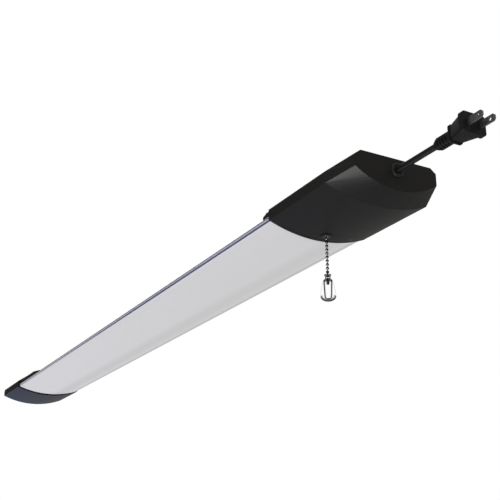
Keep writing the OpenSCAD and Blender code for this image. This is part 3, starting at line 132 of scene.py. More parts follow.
def along(finish, axis, centre=(0, 0, 0)):
    """One Object coordinate from a centre, in metres."""
    split = add_node(finish, "ShaderNodeSeparateXYZ", Vector=place_on(finish, centre))
    return split.outputs[axis]


def noise(finish, scale, stretch=(1, 1, 1), detail=2.0):
    """Noise at so many cycles a metre."""
    return add_node(
        finish, "ShaderNodeTexNoise",
        Vector=place_on(finish, stretch=stretch), Scale=scale, Detail=detail,
    ).outputs["Fac"]


def specks(finish, scale, stretch=(1, 1, 1)):
    """Round specks, so many cells a metre."""
    return add_node(
        finish, "ShaderNodeTexVoronoi", Vector=place_on(finish, stretch=stretch), Scale=scale
    ).outputs["Distance"]


def bands(finish, axis, pitch, centre=(0, 0, 0), wander=0.0):
    """Sine waves along an axis, one to each pitch, in metres."""
    radians_to_scale = 20
    wave = add_node(
        finish, "ShaderNodeTexWave", Vector=place_on(finish, centre),
        Scale=2 * pi / radians_to_scale / pitch, Distortion=wander,
    )
    wave.bands_direction = axis
    return wave.outputs["Fac"]


def arithmetic(finish, operation, *values):
    """One step of arithmetic on sockets or plain numbers."""
    node = finish.node_tree.nodes.new("ShaderNodeMath")
    node.operation = operation
    for socket, value in zip(node.inputs, values):
        if isinstance(value, bpy.types.NodeSocket):
            finish.node_tree.links.new(value, socket)
        else:
            socket.default_value = value
    return node.outputs[0]


def span(finish, value, low, high, to_low=0.0, to_high=1.0):
    """A value from low to high made one from to_low to to_high, smoothly."""
    node = add_node(finish, "ShaderNodeMapRange", Value=value)
    node.interpolation_type = "SMOOTHSTEP"
    ends = {"From Min": low, "From Max": high, "To Min": to_low, "To Max": to_high}
    for name, number in ends.items():
        node.inputs[name].default_value = number
    return node.outputs["Result"]


def blend_colours(finish, share, first, second):
    """The first colour where share is 0, the second where it is 1."""
    mix = finish.node_tree.nodes.new("ShaderNodeMix")
    mix.data_type = "RGBA"
    finish.node_tree.links.new(share, mix.inputs[0])
    for socket, colour in ((mix.inputs[6], first), (mix.inputs[7], second)):
        if isinstance(colour, bpy.types.NodeSocket):
            finish.node_tree.links.new(colour, socket)
        else:
            socket.default_value = (*colour, 1)
    return mix.outputs[2]


def grain(finish, source, height, strength=1.0):
    """Relief of a real height, in metres, on what relief the finish already has."""
    bump = add_node(finish, "ShaderNodeBump", Height=source, Distance=height, Strength=strength)
    normal = shader_of(finish).inputs["Normal"]
    if normal.links:
        finish.node_tree.links.new(normal.links[0].from_socket, bump.inputs["Normal"])
    wire(finish, bump.outputs["Normal"], "Normal")


def mottle(finish, source, low, high, rough_low, rough_high):
    """Colour and roughness that wander with a texture."""
    wire(finish, blend_colours(finish, source, low, high), "Base Color")
    wire(finish, span(finish, source, 0, 1, rough_low, rough_high), "Roughness")


def dress(finish, *names):
    """Gives CAD nodes their finish."""
    for name in names:
        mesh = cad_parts[name].data
        mesh.materials.clear()
        mesh.materials.append(finish)


vinyl = new_finish("black_vinyl_jacket", (0.012, 0.012, 0.012), 0.45, specular=0.04)
drawn = noise(vinyl, 900, (0.08, 1, 1), 3)
mottle(vinyl, drawn, (0.008, 0.008, 0.008), (0.013, 0.013, 0.013), 0.40, 0.52)
grain(vinyl, drawn, 0.00003, 0.4)
cord_curve.materials.append(vinyl)
dress(vinyl, "cord_tail")
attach(cord, "fixture")
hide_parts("cord")


# ---- Studio ----
# A plain pale floor two metres below the light, white all round, and soft lamps.
# The world is white to the camera, and in metal and glass, and lights evenly.
scene = bpy.context.scene
scene.view_settings.view_transform = "Standard"

floor_size = 40
floor_z = -2.1
floor_mesh = bpy.data.meshes.new("studio_floor")
floor_shape = bmesh.new()
bmesh.ops.create_grid(floor_shape, x_segments=4, y_segments=4, size=floor_size / 2)
bmesh.ops.translate(floor_shape, verts=floor_shape.verts, vec=(0, 0, floor_z))
floor_shape.to_mesh(floor_mesh)
floor_shape.free()
floor = bpy.data.objects.new("studio_floor", floor_mesh)
scene.collection.objects.link(floor)

floor_paint = new_finish("studio_floor_paint", (0.81, 0.81, 0.81), 0.9, specular=0.1)
floor_wear = noise(floor_paint, 3, detail=3)
worn_paint = blend_colours(floor_paint, floor_wear, (0.80, 0.80, 0.80), (0.82, 0.82, 0.82))
wire(floor_paint, worn_paint, "Base Color")
# In glossy faces the floor shows bluish far off and a warm grey on the light's +Y side.
across_floor = span(floor_paint, along(floor_paint, "Y"), 1.0, 3.5)
down_floor = span(floor_paint, along(floor_paint, "X"), -3.0, -8.0)
cool_part = blend_colours(floor_paint, down_floor, (0.80, 0.85, 1.05), (1.15, 1.38, 2.2))
mirrored = add_node(
    floor_paint, "ShaderNodeEmission",
    Color=blend_colours(floor_paint, across_floor, cool_part, (0.62, 0.60, 0.56)),
)
floor_ray = add_node(floor_paint, "ShaderNodeLightPath")
floor_mix = add_node(
    floor_paint, "ShaderNodeMixShader", Fac=floor_ray.outputs["Is Glossy Ray"],
    i1=shader_of(floor_paint).outputs[0], i2=mirrored.outputs[0],
)
floor_paint.node_tree.links.new(
    floor_mix.outputs[0], floor_paint.node_tree.nodes["Material Output"].inputs["Surface"]
)
floor_mesh.materials.append(floor_paint)

# Two cards, one on each side, that only show in glossy faces, and deepen them.
for name, tone, size, middle in (
    ("left_card", (0.05, 0.05, 0.06), (14.0, 4.8, 1), (-7.5, -1.5, 1.2)),
    ("right_card", (0.66, 0.65, 0.62), (9.0, 3.4, 1), (-4.5, 3.4, -0.35)),
):
    card_mesh = bpy.data.meshes.new(name)
    card_shape = bmesh.new()
    bmesh.ops.create_grid(card_shape, x_segments=1, y_segments=1, size=0.5)
    bmesh.ops.scale(card_shape, vec=size, verts=card_shape.verts)
    upright = Matrix.Rotation(pi / 2, 3, "X")
    bmesh.ops.rotate(card_shape, verts=card_shape.verts, matrix=upright)
    bmesh.ops.translate(card_shape, verts=card_shape.verts, vec=middle)
    card_shape.to_mesh(card_mesh)
    card_shape.free()
    card = bpy.data.objects.new(name, card_mesh)
    scene.collection.objects.link(card)
    for kind in ("camera", "diffuse", "shadow", "transmission", "volume_scatter"):
        setattr(card, "visible_" + kind, False)
    card_cloth = new_finish(name + "_cloth", tone, 0.9, specular=0.05)
    darker_tone = [part * 0.9 for part in tone]
    woven = blend_colours(card_cloth, noise(card_cloth, 4), tone, darker_tone)
    wire(card_cloth, woven, "Base Color")
    card_mesh.materials.append(card_cloth)

world = bpy.data.worlds.new("studio_world")
world.use_nodes = True
scene.world = world
world_nodes, world_links = world.node_tree.nodes, world.node_tree.links
seen = world_nodes["Background"]
seen.inputs["Color"].default_value = (1, 1, 1, 1)
seen.inputs["Strength"].default_value = 1.0
lighting = world_nodes.new("ShaderNodeBackground")
lighting.inputs["Color"].default_value = (1.0, 0.99, 0.99, 1)
lighting.inputs["Strength"].default_value = 0.93
rays = world_nodes.new("ShaderNodeLightPath")
any_of = rays.outputs["Is Camera Ray"]
for kind in ("Is Glossy Ray", "Is Transmission Ray"):
    either = world_nodes.new("ShaderNodeMath")
    either.operation = "MAXIMUM"
    world_links.new(any_of, either.inputs[0])
    world_links.new(rays.outputs[kind], either.inputs[1])
    any_of = either.outputs[0]
world_mix = world_nodes.new("ShaderNodeMixShader")
world_links.new(any_of, world_mix.inputs["Fac"])
world_links.new(lighting.outputs[0], world_mix.inputs[1])
world_links.new(seen.outputs[0], world_mix.inputs[2])
world_links.new(world_mix.outputs[0], world_nodes["World Output"].inputs["Surface"])


def soft_lamp(name, place, target, size, power):
    """A rectangular lamp that faces a target, with its size in metres and power in watts."""
    lamp_data = bpy.data.lights.new(name, "AREA")
    lamp_data.shape = "RECTANGLE"
    lamp_data.size, lamp_data.size_y = size
    lamp_data.energy = power
    lamp = bpy.data.objects.new(name, lamp_data)
    lamp.location = place
    lamp.rotation_mode = "QUATERNION"
    lamp.rotation_quaternion = (Vector(target) - Vector(place)).to_track_quat("-Z", "Y")
    scene.collection.objects.link(lamp)
    return lamp


soft_lamp("top_lamp", (0.2, -0.6, 2.6), (0.2, 0, 0), (2.4, 1.6), 40)
# A low lamp that only shows as a sheen on the chin and on other glossy faces.
sheen_lamp = soft_lamp("sheen_lamp", (0.50, -0.75, -1.62), (0.57, -0.04, -0.02), (0.9, 0.9), 255)
sheen_lamp.visible_diffuse = False


# ---- Back pan ----
# Bent from satin coil-coated sheet metal, with side strips, turned lips for the
# diffuser, and holes for hangers. Each strip has painted light and shade: a dark line
# of painted shadow over a pale band of painted light, and a band of painted shade below
# it, and both bands get a painted reflection that grows lighter towards the far end.
strip_top, strip_waist, strip_bottom = -0.0161, -0.0189, -0.0203
line_below, line_above = 0.0010, 0.0008
lip_drop, band_fade = 0.001, 0.0002
pale_tone, pale_share = 0.55, 0.2


def stripe(finish, value, start, full, end, gone):
    """1 where a value lies from full to end, down to 0 at start and at gone."""
    rise = span(finish, value, start, full)
    fall = span(finish, value, end, gone, 1, 0)
    return arithmetic(finish, "MULTIPLY", rise, fall)


pan_finish = new_finish("pan_coated_sheet", (0.58, 0.58, 0.64), 0.32, metallic=0.35)
rolling = noise(pan_finish, 220, (0.03, 1, 1), 3)
pan_z = along(pan_finish, "Z")
# Painted reflection: the strip's two bands lighten towards the far end, as reflections at grazing
# angles do.
strip_reflection_gradient = span(pan_finish, along(pan_finish, "X"), 0.2, -0.45)
coat_and_painted_bands = blend_colours(pan_finish, rolling, (0.55, 0.55, 0.61), (0.63, 0.63, 0.68))
# Painted light and shade on the strip: the lower band is painted shade, the middle band painted
# light, the top line a painted shadow.
for low, high, colour, gets_paler in (
    (strip_bottom - lip_drop, strip_waist, (0.12, 0.13, 0.19), True),
    (strip_waist, strip_top - line_below, (0.52, 0.55, 0.68), True),
    (strip_top - line_below, strip_top + line_above, (0.006, 0.007, 0.014), False),
):
    if gets_paler:
        paler = [pale_tone + part * pale_share for part in colour]
        colour = blend_colours(pan_finish, strip_reflection_gradient, colour, paler)
    on_band = stripe(pan_finish, pan_z, low, low + band_fade, high, high + band_fade)
    coat_and_painted_bands = blend_colours(pan_finish, on_band, coat_and_painted_bands, colour)
wire(pan_finish, coat_and_painted_bands, "Base Color")
wire(pan_finish, span(pan_finish, rolling, 0, 1, 0.26, 0.38), "Roughness")
grain(pan_finish, rolling, 0.00002, 0.4)
dress(pan_finish, "back_pan")


# ---- LED boards ----
# Four narrow aluminium boards with white solder mask, in two rows, held by pan-head
# screws. Each carries a line of small white packages, filled with yellow phosphor.
board_low, board_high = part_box("led_board_left_far")
leds_on_board = 30
led_pitch = (board_high.x - board_low.x) / leds_on_board
board_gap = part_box("led_board_left_near")[0].x - board_high.x
led_row_y = (board_low.y + board_high.y) / 2
pad_half_length, pad_half_width, track_from_row, print_edge = 0.0026, 0.0016, 0.0062, 0.0002
well_half_length, well_half_width, well_edge = 0.00125, 0.0009, 0.0001


def place_in_package(finish):
    """How far a point is from its package's middle, along and across, in metres."""
    x = along(finish, "X", (board_low.x, 0, 0))
    past = arithmetic(finish, "GREATER_THAN", x, board_high.x - board_low.x + board_gap / 2)
    x = arithmetic(finish, "SUBTRACT", x, arithmetic(finish, "MULTIPLY", past, board_gap))
    step = arithmetic(finish, "FLOORED_MODULO", x, led_pitch)
    from_x = arithmetic(finish, "ABSOLUTE", arithmetic(finish, "SUBTRACT", step, led_pitch / 2))
    across = arithmetic(finish, "ABSOLUTE", along(finish, "Y"))
    from_y = arithmetic(finish, "ABSOLUTE", arithmetic(finish, "SUBTRACT", across, led_row_y))
    return from_x, from_y


board_finish = new_finish("board_white_mask", (0.78, 0.78, 0.76), 0.35, specular=0.4)
from_x, from_y = place_in_package(board_finish)
pad_x = span(board_finish, from_x, pad_half_length, pad_half_length + print_edge, 1, 0)
pad_y = span(board_finish, from_y, pad_half_width, pad_half_width + print_edge, 1, 0)
pads = arithmetic(board_finish, "MULTIPLY", pad_x, pad_y)
track = span(board_finish, from_y, track_from_row, track_from_row + print_edge)
mask_cloud = noise(board_finish, 300, detail=3)
mask = blend_colours(board_finish, mask_cloud, (0.76, 0.76, 0.74), (0.82, 0.82, 0.81))
mask = blend_colours(board_finish, track, mask, (0.70, 0.71, 0.68))
wire(board_finish, blend_colours(board_finish, pads, mask, (0.55, 0.54, 0.50)), "Base Color")
wire(board_finish, span(board_finish, mask_cloud, 0, 1, 0.28, 0.42), "Roughness")
grain(board_finish, track, 0.00003, 0.6)
dress(
    board_finish, "led_board_left_near", "led_board_right_near", "led_board_left_far",
    "led_board_right_far",
)

led_finish = new_finish("led_phosphor", (0.8, 0.62, 0.15), 0.3, specular=0.5)
from_x, from_y = place_in_package(led_finish)
well_x = span(led_finish, from_x, well_half_length, well_half_length + well_edge, 1, 0)
well_y = span(led_finish, from_y, well_half_width, well_half_width + well_edge, 1, 0)
well = arithmetic(led_finish, "MULTIPLY", well_x, well_y)
gel = blend_colours(led_finish, noise(led_finish, 1500), (0.78, 0.56, 0.10), (0.86, 0.68, 0.20))
wire(led_finish, blend_colours(led_finish, well, (0.82, 0.82, 0.80), gel), "Base Color")
wire(led_finish, span(led_finish, well, 0, 1, 0.45, 0.15), "Roughness")
grain(led_finish, well, 0.0001, 0.8)
dress(led_finish, "leds")

link_finish = new_finish("link_white_nylon", (0.78, 0.77, 0.73), 0.4)
link_cloud = noise(link_finish, 800, detail=3)
mottle(link_finish, link_cloud, (0.74, 0.73, 0.69), (0.82, 0.81, 0.77), 0.34, 0.48)
grain(link_finish, link_cloud, 0.00003, 0.5)
dress(link_finish, "led_board_links")

zinc = new_finish("zinc_plated_steel", (0.55, 0.56, 0.60), 0.3, metallic=1.0)
plating = noise(zinc, 1600, detail=4)
mottle(zinc, plating, (0.46, 0.48, 0.54), (0.66, 0.66, 0.66), 0.22, 0.42)
grain(zinc, plating, 0.00002, 0.5)
dress(
    zinc, "led_board_screws", "driver_board_screws", "switch_cover_screws", "pan_screws",
    "wheel_pin",
)


# ---- Diffuser ----
# Extruded from frosted plastic, with faint die lines along it. It hooks over the
# pan's lips with two barbed edges, and its narrower ends slip into the housings.
# Its tone is painted light: darker at the near end than the far end, with a painted reflection and
# painted shade in three soft stripes that run its length.
diffuser_finish = new_finish("diffuser_frosted", (0.74, 0.74, 0.75), 0.55, specular=0.08)
die_lines = noise(diffuser_finish, 130, (0.01, 1, 0.2), 3)
# Painted light: the frost is darker at the near end and lighter at the far end.
painted_light_along_length = span(diffuser_finish, along(diffuser_finish, "X"), 0.45, -0.45)
diffuser_y = along(diffuser_finish, "Y")
shaded_near_end = blend_colours(diffuser_finish, die_lines, (0.705, 0.705, 0.718), (0.73, 0.727, 0.738))
lit_far_end = blend_colours(diffuser_finish, die_lines, (0.755, 0.755, 0.775), (0.78, 0.777, 0.795))
frost_and_painted_light = blend_colours(diffuser_finish, painted_light_along_length, shaded_near_end, lit_far_end)
# Painted light in three stripes: a bluish painted reflection at the -Y edge, painted shade over
# the +Y half, and darker painted shade at the +Y edge.
for start, full, end, gone, colour in (
    (-0.055, -0.0535, -0.0525, -0.049, (0.73, 0.73, 0.82)),
    (0.000, 0.020, 0.024, 0.048, (0.675, 0.672, 0.672)),
    (0.0425, 0.046, 0.053, 0.054, (0.60, 0.60, 0.60)),
):
    on_stripe = stripe(diffuser_finish, diffuser_y, start, full, end, gone)
    frost_and_painted_light = blend_colours(diffuser_finish, on_stripe, frost_and_painted_light, colour)
wire(diffuser_finish, frost_and_painted_light, "Base Color")
wire(diffuser_finish, span(diffuser_finish, die_lines, 0, 1, 0.48, 0.60), "Roughness")
grain(diffuser_finish, noise(diffuser_finish, 4000), 0.00001, 0.3)
dress(diffuser_finish, "diffuser")


# ---- Driver ----
# A green board on four standoffs, with its transformer, choke, capacitors, bridge
# rectifier, fuse and two terminal blocks. Each part is finished as it is sold.
green_mask = new_finish("board_green_mask", (0.03, 0.16, 0.07), 0.3, specular=0.5)
tracks = add_node(
    green_mask, "ShaderNodeTexBrick", Vector=place_on(green_mask, stretch=(1, 1, 0)), Scale=1.0,
    Brick_Width=0.009, Row_Height=0.004, Mortar_Size=0.0005, Mortar_Smooth=0.2,
)
mask_green = blend_colours(
    green_mask, noise(green_mask, 400, detail=3), (0.02, 0.13, 0.055), (0.035, 0.18, 0.08)
)
copper_tracks = tracks.outputs["Fac"]
over_tracks = blend_colours(green_mask, copper_tracks, mask_green, (0.05, 0.26, 0.12))
wire(green_mask, over_tracks, "Base Color")
grain(green_mask, copper_tracks, 0.00004, 0.6)
dress(green_mask, "driver_board")

ferrite = new_finish("ferrite_sintered", (0.05, 0.05, 0.055), 0.5, specular=0.4)
ferrite_grain = specks(ferrite, 2500)
mottle(ferrite, ferrite_grain, (0.035, 0.035, 0.04), (0.09, 0.09, 0.095), 0.35, 0.6)
grain(ferrite, ferrite_grain, 0.00003, 0.6)
dress(ferrite, "transformer_core")

flange_fade = 0.0001
bobbin_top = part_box("transformer_core")[0].z + 0.0041
coil_finish = new_finish("coil_enamelled_wire", (0.55, 0.22, 0.06), 0.25, metallic=0.6)
turns = bands(coil_finish, "Z", 0.0006, wander=0.4)
coil_z = along(coil_finish, "Z")
on_bobbin = span(coil_finish, coil_z, bobbin_top - flange_fade, bobbin_top, 1, 0)
wire_colour = blend_colours(coil_finish, turns, (0.32, 0.10, 0.02), (0.68, 0.32, 0.10))
wound = blend_colours(coil_finish, on_bobbin, wire_colour, (0.75, 0.73, 0.66))
wire(coil_finish, wound, "Base Color")
wire(coil_finish, span(coil_finish, on_bobbin, 0, 1, 0.7, 0.0), "Metallic")
grain(coil_finish, turns, 0.00012, 0.7)
dress(coil_finish, "transformer_coil")

choke_finish = new_finish("choke_copper_winding", (0.50, 0.18, 0.06), 0.28, metallic=0.8)
choke_turns = bands(choke_finish, "Z", 0.0009, wander=0.6)
mottle(choke_finish, choke_turns, (0.26, 0.07, 0.02), (0.66, 0.28, 0.09), 0.2, 0.4)
grain(choke_finish, choke_turns, 0.00015, 0.8)
dress(choke_finish, "choke")

for name in ("bulk_capacitor", "output_capacitors"):
    can_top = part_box(name)[1].z
    sleeve = new_finish(name + "_sleeve", (0.02, 0.04, 0.12), 0.25, specular=0.5)
    top = span(sleeve, along(sleeve, "Z"), can_top - 0.0004, can_top - 0.0002)
    shrink = noise(sleeve, 700, (1, 1, 0.2), 3)
    sleeve_colour = blend_colours(sleeve, shrink, (0.012, 0.028, 0.09), (0.03, 0.055, 0.15))
    brushed = blend_colours(sleeve, noise(sleeve, 3000), (0.5, 0.5, 0.52), (0.68, 0.68, 0.7))
    wire(sleeve, blend_colours(sleeve, top, sleeve_colour, brushed), "Base Color")
    wire(sleeve, top, "Metallic")
    grain(sleeve, shrink, 0.00004, 0.4)
    dress(sleeve, name)

film = new_finish("film_capacitor_epoxy", (0.66, 0.42, 0.03), 0.3, specular=0.5)
film_cloud = noise(film, 500, detail=4)
mottle(film, film_cloud, (0.58, 0.36, 0.02), (0.72, 0.48, 0.05), 0.24, 0.42)
grain(film, film_cloud, 0.00005, 0.5)
dress(film, "film_capacitor")

bridge = new_finish("bridge_moulded_epoxy", (0.015, 0.015, 0.016), 0.5, specular=0.3)
bridge_grain = specks(bridge, 3500)
mottle(bridge, bridge_grain, (0.01, 0.01, 0.011), (0.028, 0.028, 0.03), 0.42, 0.62)
grain(bridge, bridge_grain, 0.00002, 0.7)
dress(bridge, "bridge_rectifier")

fuse_low, fuse_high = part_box("fuse")
fuse_middle = (fuse_low + fuse_high) / 2
fuse_finish = new_finish("fuse_ceramic_tube", (0.78, 0.76, 0.70), 0.25, specular=0.5)
from_middle = arithmetic(fuse_finish, "ABSOLUTE", along(fuse_finish, "Y", fuse_middle))
end_cap = span(fuse_finish, from_middle, 0.0039, 0.0041)
firing = noise(fuse_finish, 900, detail=3)
glaze = blend_colours(fuse_finish, firing, (0.74, 0.72, 0.66), (0.82, 0.80, 0.75))
wire(fuse_finish, blend_colours(fuse_finish, end_cap, glaze, (0.62, 0.60, 0.55)), "Base Color")
wire(fuse_finish, end_cap, "Metallic")
grain(fuse_finish, end_cap, 0.0002, 0.8)
dress(fuse_finish, "fuse")

terminal = new_finish("terminal_green_nylon", (0.03, 0.28, 0.16), 0.38, specular=0.5)
terminal_cloud = noise(terminal, 900, detail=3)
mottle(terminal, terminal_cloud, (0.022, 0.23, 0.13), (0.04, 0.33, 0.19), 0.32, 0.48)
grain(terminal, bands(terminal, "Z", 0.002), 0.0001, 0.4)
dress(terminal, "input_terminal", "output_terminal")


# ---- Leads ----
# Thin stranded leads in smooth vinyl, in black, white and red, from the cord's wires
# to the driver, the switch and the LED rows.
for name, colour, leads in (
    ("lead_black_vinyl", (0.016, 0.016, 0.017), ("line_lead", "led_lead_minus")),
    ("lead_white_vinyl", (0.74, 0.73, 0.70), ("neutral_lead",)),
    ("lead_red_vinyl", (0.42, 0.02, 0.02), ("load_lead", "led_lead_plus", "row_jumper")),
):
    insulation = new_finish(name, colour, 0.32, specular=0.5)
    cloud = noise(insulation, 1200, detail=3)
    darker = [part * 0.82 for part in colour]
    mottle(insulation, cloud, darker, colour, 0.26, 0.42)
    grain(insulation, cloud, 0.00002, 0.4)
    dress(insulation, *leads)


# ---- Pull switch ----
# A brown moulded box with a cover, on the driver housing's floor. Inside, a nylon
# slider with a rack turns the pull wheel, and a drum opens and shuts two leaves. A
# steel spring pushes the slider back up and shortens as the chain is pulled; here it is built at
# rest.
phenolic = new_finish("switch_phenolic", (0.11, 0.045, 0.018), 0.42, specular=0.4)
phenolic_flow = noise(phenolic, 350, (1, 0.4, 1), 4)
mottle(phenolic, phenolic_flow, (0.08, 0.03, 0.012), (0.15, 0.065, 0.028), 0.35, 0.52)
grain(phenolic, phenolic_flow, 0.00003, 0.5)
dress(phenolic, "switch_body", "switch_cover")

nylon = new_finish("natural_nylon", (0.80, 0.77, 0.68), 0.4, specular=0.4)
nylon_cloud = noise(nylon, 900, detail=3)
mottle(nylon, nylon_cloud, (0.74, 0.70, 0.60), (0.84, 0.82, 0.74), 0.34, 0.5)
grain(nylon, nylon_cloud, 0.00002, 0.5)
dress(nylon, "pull_slider", "pull_wheel", "contact_drum")

brass = new_finish("brass_leaf", (0.70, 0.50, 0.18), 0.28, metallic=1.0)
brass_rolling = noise(brass, 1400, (1, 1, 0.08), 3)
mottle(brass, brass_rolling, (0.60, 0.40, 0.12), (0.78, 0.60, 0.26), 0.2, 0.38)
grain(brass, brass_rolling, 0.00001, 0.5)
dress(brass, "line_contact", "load_contact")

spring_wire = new_finish("spring_steel_wire", (0.42, 0.42, 0.44), 0.25, metallic=1.0)
wire_marks = noise(spring_wire, 2600, detail=3)
mottle(spring_wire, wire_marks, (0.32, 0.32, 0.34), (0.54, 0.54, 0.56), 0.18, 0.36)
grain(spring_wire, wire_marks, 0.00001, 0.5)
dress(spring_wire, "bushing_clip")


def keep_mesh(shape, name, finishes, sharp=30):
    """The bmesh as a smooth piece with sharp edges past an angle, in degrees."""
    bmesh.ops.recalc_face_normals(shape, faces=shape.faces)
    if shape.calc_volume(signed=True) < 0:
        bmesh.ops.reverse_faces(shape, faces=shape.faces)
    mesh = bpy.data.meshes.new(name)
    shape.to_mesh(mesh)
    shape.free()
    for finish in finishes:
        mesh.materials.append(finish)
    mesh.polygons.foreach_set("use_smooth", [True] * len(mesh.polygons))
    mesh.set_sharp_from_angle(angle=radians(sharp))
    piece = bpy.data.objects.new(name, mesh)
    bpy.context.scene.collection.objects.link(piece)
    return piece


spring_low, spring_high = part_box("return_spring")
bead_low, bead_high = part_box("pivot_bead")
coil_x = (bead_low.x + bead_high.x) / 2
coil_radius, coil_turns, steps_a_turn = 0.0025, 4.5, 32
wire_radius, wire_sides = 0.00025, 10
spring_height, pull_travel = spring_high.z - spring_low.z, 0.006

spring_shape = bmesh.new()
wire_end = Matrix.Translation((coil_x + coil_radius, 0, spring_low.z + wire_radius))
bmesh.ops.create_circle(
    spring_shape, cap_ends=False, segments=wire_sides, radius=wire_radius,
    matrix=wire_end @ Matrix.Rotation(pi / 2, 4, "X"),
)
coil_steps = int(coil_turns * steps_a_turn)
bmesh.ops.spin(
    spring_shape, geom=spring_shape.verts[:] + spring_shape.edges[:], axis=(0, 0, 1),
    cent=(coil_x, 0, 0), dvec=(0, 0, (spring_height - 2 * wire_radius) / coil_steps),
    angle=2 * pi * coil_turns, steps=coil_steps, use_merge=False, use_duplicate=False,
)
open_ends = [edge for edge in spring_shape.edges if edge.is_boundary]
bmesh.ops.holes_fill(spring_shape, edges=open_ends)
spring = keep_mesh(spring_shape, "return_spring_coil", [spring_wire], 50)
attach(spring, "fixture")
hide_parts("return_spring")
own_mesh(spring)

nipple_finish = new_finish("nipple_blackened_thread", (0.03, 0.03, 0.032), 0.4, metallic=0.6)
thread = bands(nipple_finish, "Z", 0.0008)
mottle(nipple_finish, thread, (0.015, 0.015, 0.016), (0.05, 0.05, 0.055), 0.3, 0.5)
grain(nipple_finish, thread, 0.0002, 0.8)
dress(nipple_finish, "switch_nipple")


# ---- End housings ----
# Moulded from black plastic with a fine matt grain and softened edges: a tub at each
# end, with a lid screwed on from above. The far cap is duller at its rim, and a painted shadow
# darkens a band there.
rim_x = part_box("far_cap")[1].x
rim_band, rim_fade, rim_rougher = 0.0042, 0.0006, 0.5
edge_radius, edge_samples = 0.0009, 6
housing_finish = new_finish("housing_black_plastic", (0.013, 0.0125, 0.0115), 0.40, specular=0.025)
spark_marks = noise(housing_finish, 1800)
plastic = blend_colours(
    housing_finish, spark_marks, (0.0124, 0.0121, 0.0113), (0.0154, 0.0150, 0.0139)
)
from_rim = arithmetic(housing_finish, "ABSOLUTE", along(housing_finish, "X", (rim_x, 0, 0)))
on_rim = span(housing_finish, from_rim, rim_band, rim_band + rim_fade, 1, 0)
# The dark colour on the rim band is a painted shadow of the gap at the rim; the extra roughness
# there is real.
rim_painted_shadow = blend_colours(housing_finish, on_rim, plastic, (0.002, 0.002, 0.0025))
wire(housing_finish, rim_painted_shadow, "Base Color")
marked = span(housing_finish, spark_marks, 0, 1, 0.38, 0.46)
duller = arithmetic(housing_finish, "MULTIPLY_ADD", on_rim, rim_rougher, marked)
wire(housing_finish, duller, "Roughness")
soft_edges = add_node(housing_finish, "ShaderNodeBevel", Radius=edge_radius)
soft_edges.samples = edge_samples
wire(housing_finish, soft_edges.outputs["Normal"], "Normal")
grain(housing_finish, spark_marks, 0.00002, 0.3)
dress(housing_finish, "driver_housing", "driver_housing_lid", "far_cap", "far_cap_lid")

black_screw = new_finish("lid_screw_blackened", (0.04, 0.04, 0.042), 0.35, metallic=0.7)
screw_marks = noise(black_screw, 1800, detail=3)
mottle(black_screw, screw_marks, (0.025, 0.025, 0.027), (0.07, 0.07, 0.075), 0.28, 0.46)
grain(black_screw, screw_marks, 0.00002, 0.5)
dress(black_screw, "driver_lid_screws", "far_lid_screws")


# ---- Ring nut ----
# A thin slotted nut of the same black plastic that clamps the switch's nipple to the
# housing's floor. The chain hangs out of it.
nut_low, nut_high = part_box("ring_nut")
nut_x, nut_radius = (nut_low.x + nut_high.x) / 2, (nut_high.x - nut_low.x) / 2
nut_bore_radius, nut_slots, slot_depth, slot_half_angle = 0.00355, 8, 0.0011, 5
slot_pitch = 360 / nut_slots


def spin_profile(points, axis, centre, closed=True, steps=64):
    """A shape turned round an axis, from an outline or, if it isn't closed, a line."""
    shape = bmesh.new()
    corners = [shape.verts.new(point) for point in points]
    following = corners[1:] + corners[:1] if closed else corners[1:]
    edges = [shape.edges.new(pair) for pair in zip(corners, following)]
    bmesh.ops.spin(
        shape, geom=corners + edges, axis=axis, cent=centre, angle=2 * pi, steps=steps,
        use_merge=True, use_duplicate=False,
    )
    bmesh.ops.remove_doubles(shape, verts=shape.verts, dist=0.000001)
    return shape


def round_edges(piece, width, segments):
    """Rounds a piece's edges where they turn more than 40 degrees."""
    rounding = piece.modifiers.new("rounded_edges", "BEVEL")
    rounding.width = width
    rounding.segments = segments
    rounding.limit_method = "ANGLE"
    rounding.angle_limit = radians(40)


nut_radii = (nut_bore_radius, nut_radius - slot_depth, nut_radius)
nut_shape = spin_profile(
    [(nut_x + radius, 0, nut_low.z) for radius in nut_radii], (0, 0, 1), (nut_x, 0, 0),
    closed=False,
)
slots = []
for face in nut_shape.faces:
    middle = face.calc_center_median() - Vector((nut_x, 0, nut_low.z))
    from_slot = abs(degrees(atan2(middle.y, middle.x)) % slot_pitch - slot_pitch / 2)
    if middle.length > nut_radius - slot_depth and from_slot < slot_half_angle:
        slots.append(face)
bmesh.ops.delete(nut_shape, geom=slots, context="FACES")
raised = bmesh.ops.extrude_face_region(nut_shape, geom=nut_shape.faces[:])
raised_verts = [item for item in raised["geom"] if isinstance(item, bmesh.types.BMVert)]
bmesh.ops.translate(nut_shape, verts=raised_verts, vec=(0, 0, nut_high.z - nut_low.z))
nut_finish = new_finish("nut_black_plastic", (0.022, 0.022, 0.022), 0.42, specular=0.03)
nut_marks = noise(nut_finish, 1800)
mottle(nut_finish, nut_marks, (0.019, 0.019, 0.019), (0.025, 0.025, 0.025), 0.38, 0.48)
grain(nut_finish, nut_marks, 0.00002, 0.3)
ring_nut = keep_mesh(nut_shape, "slotted_ring_nut", [nut_finish])
round_edges(ring_nut, 0.00015, 2)
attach(ring_nut, "fixture")
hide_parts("ring_nut")


# ---- Cord bushing ----
# Moulded in black: a barrel through the end wall, a flange with a rounded edge, and a
# recess round the cord. A spring clip holds it from inside.
bushing_low, bushing_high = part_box("cord_bushing")
flange_radius, flange_back = (bushing_high.y - bushing_low.y) / 2, 0.58505
flange_round, flange_steps = 0.0011, 6
barrel_radius, cord_bore, edge_break = 0.0051, 0.00285, 0.0003
recess_radius, recess_depth, recess_lip = 0.0046, 0.0012, 0.0001


def bushing_point(x, radius):
    """A point of the outline, so far along the light and from the cord's middle."""
    return (x, radius, cord_exit[2])


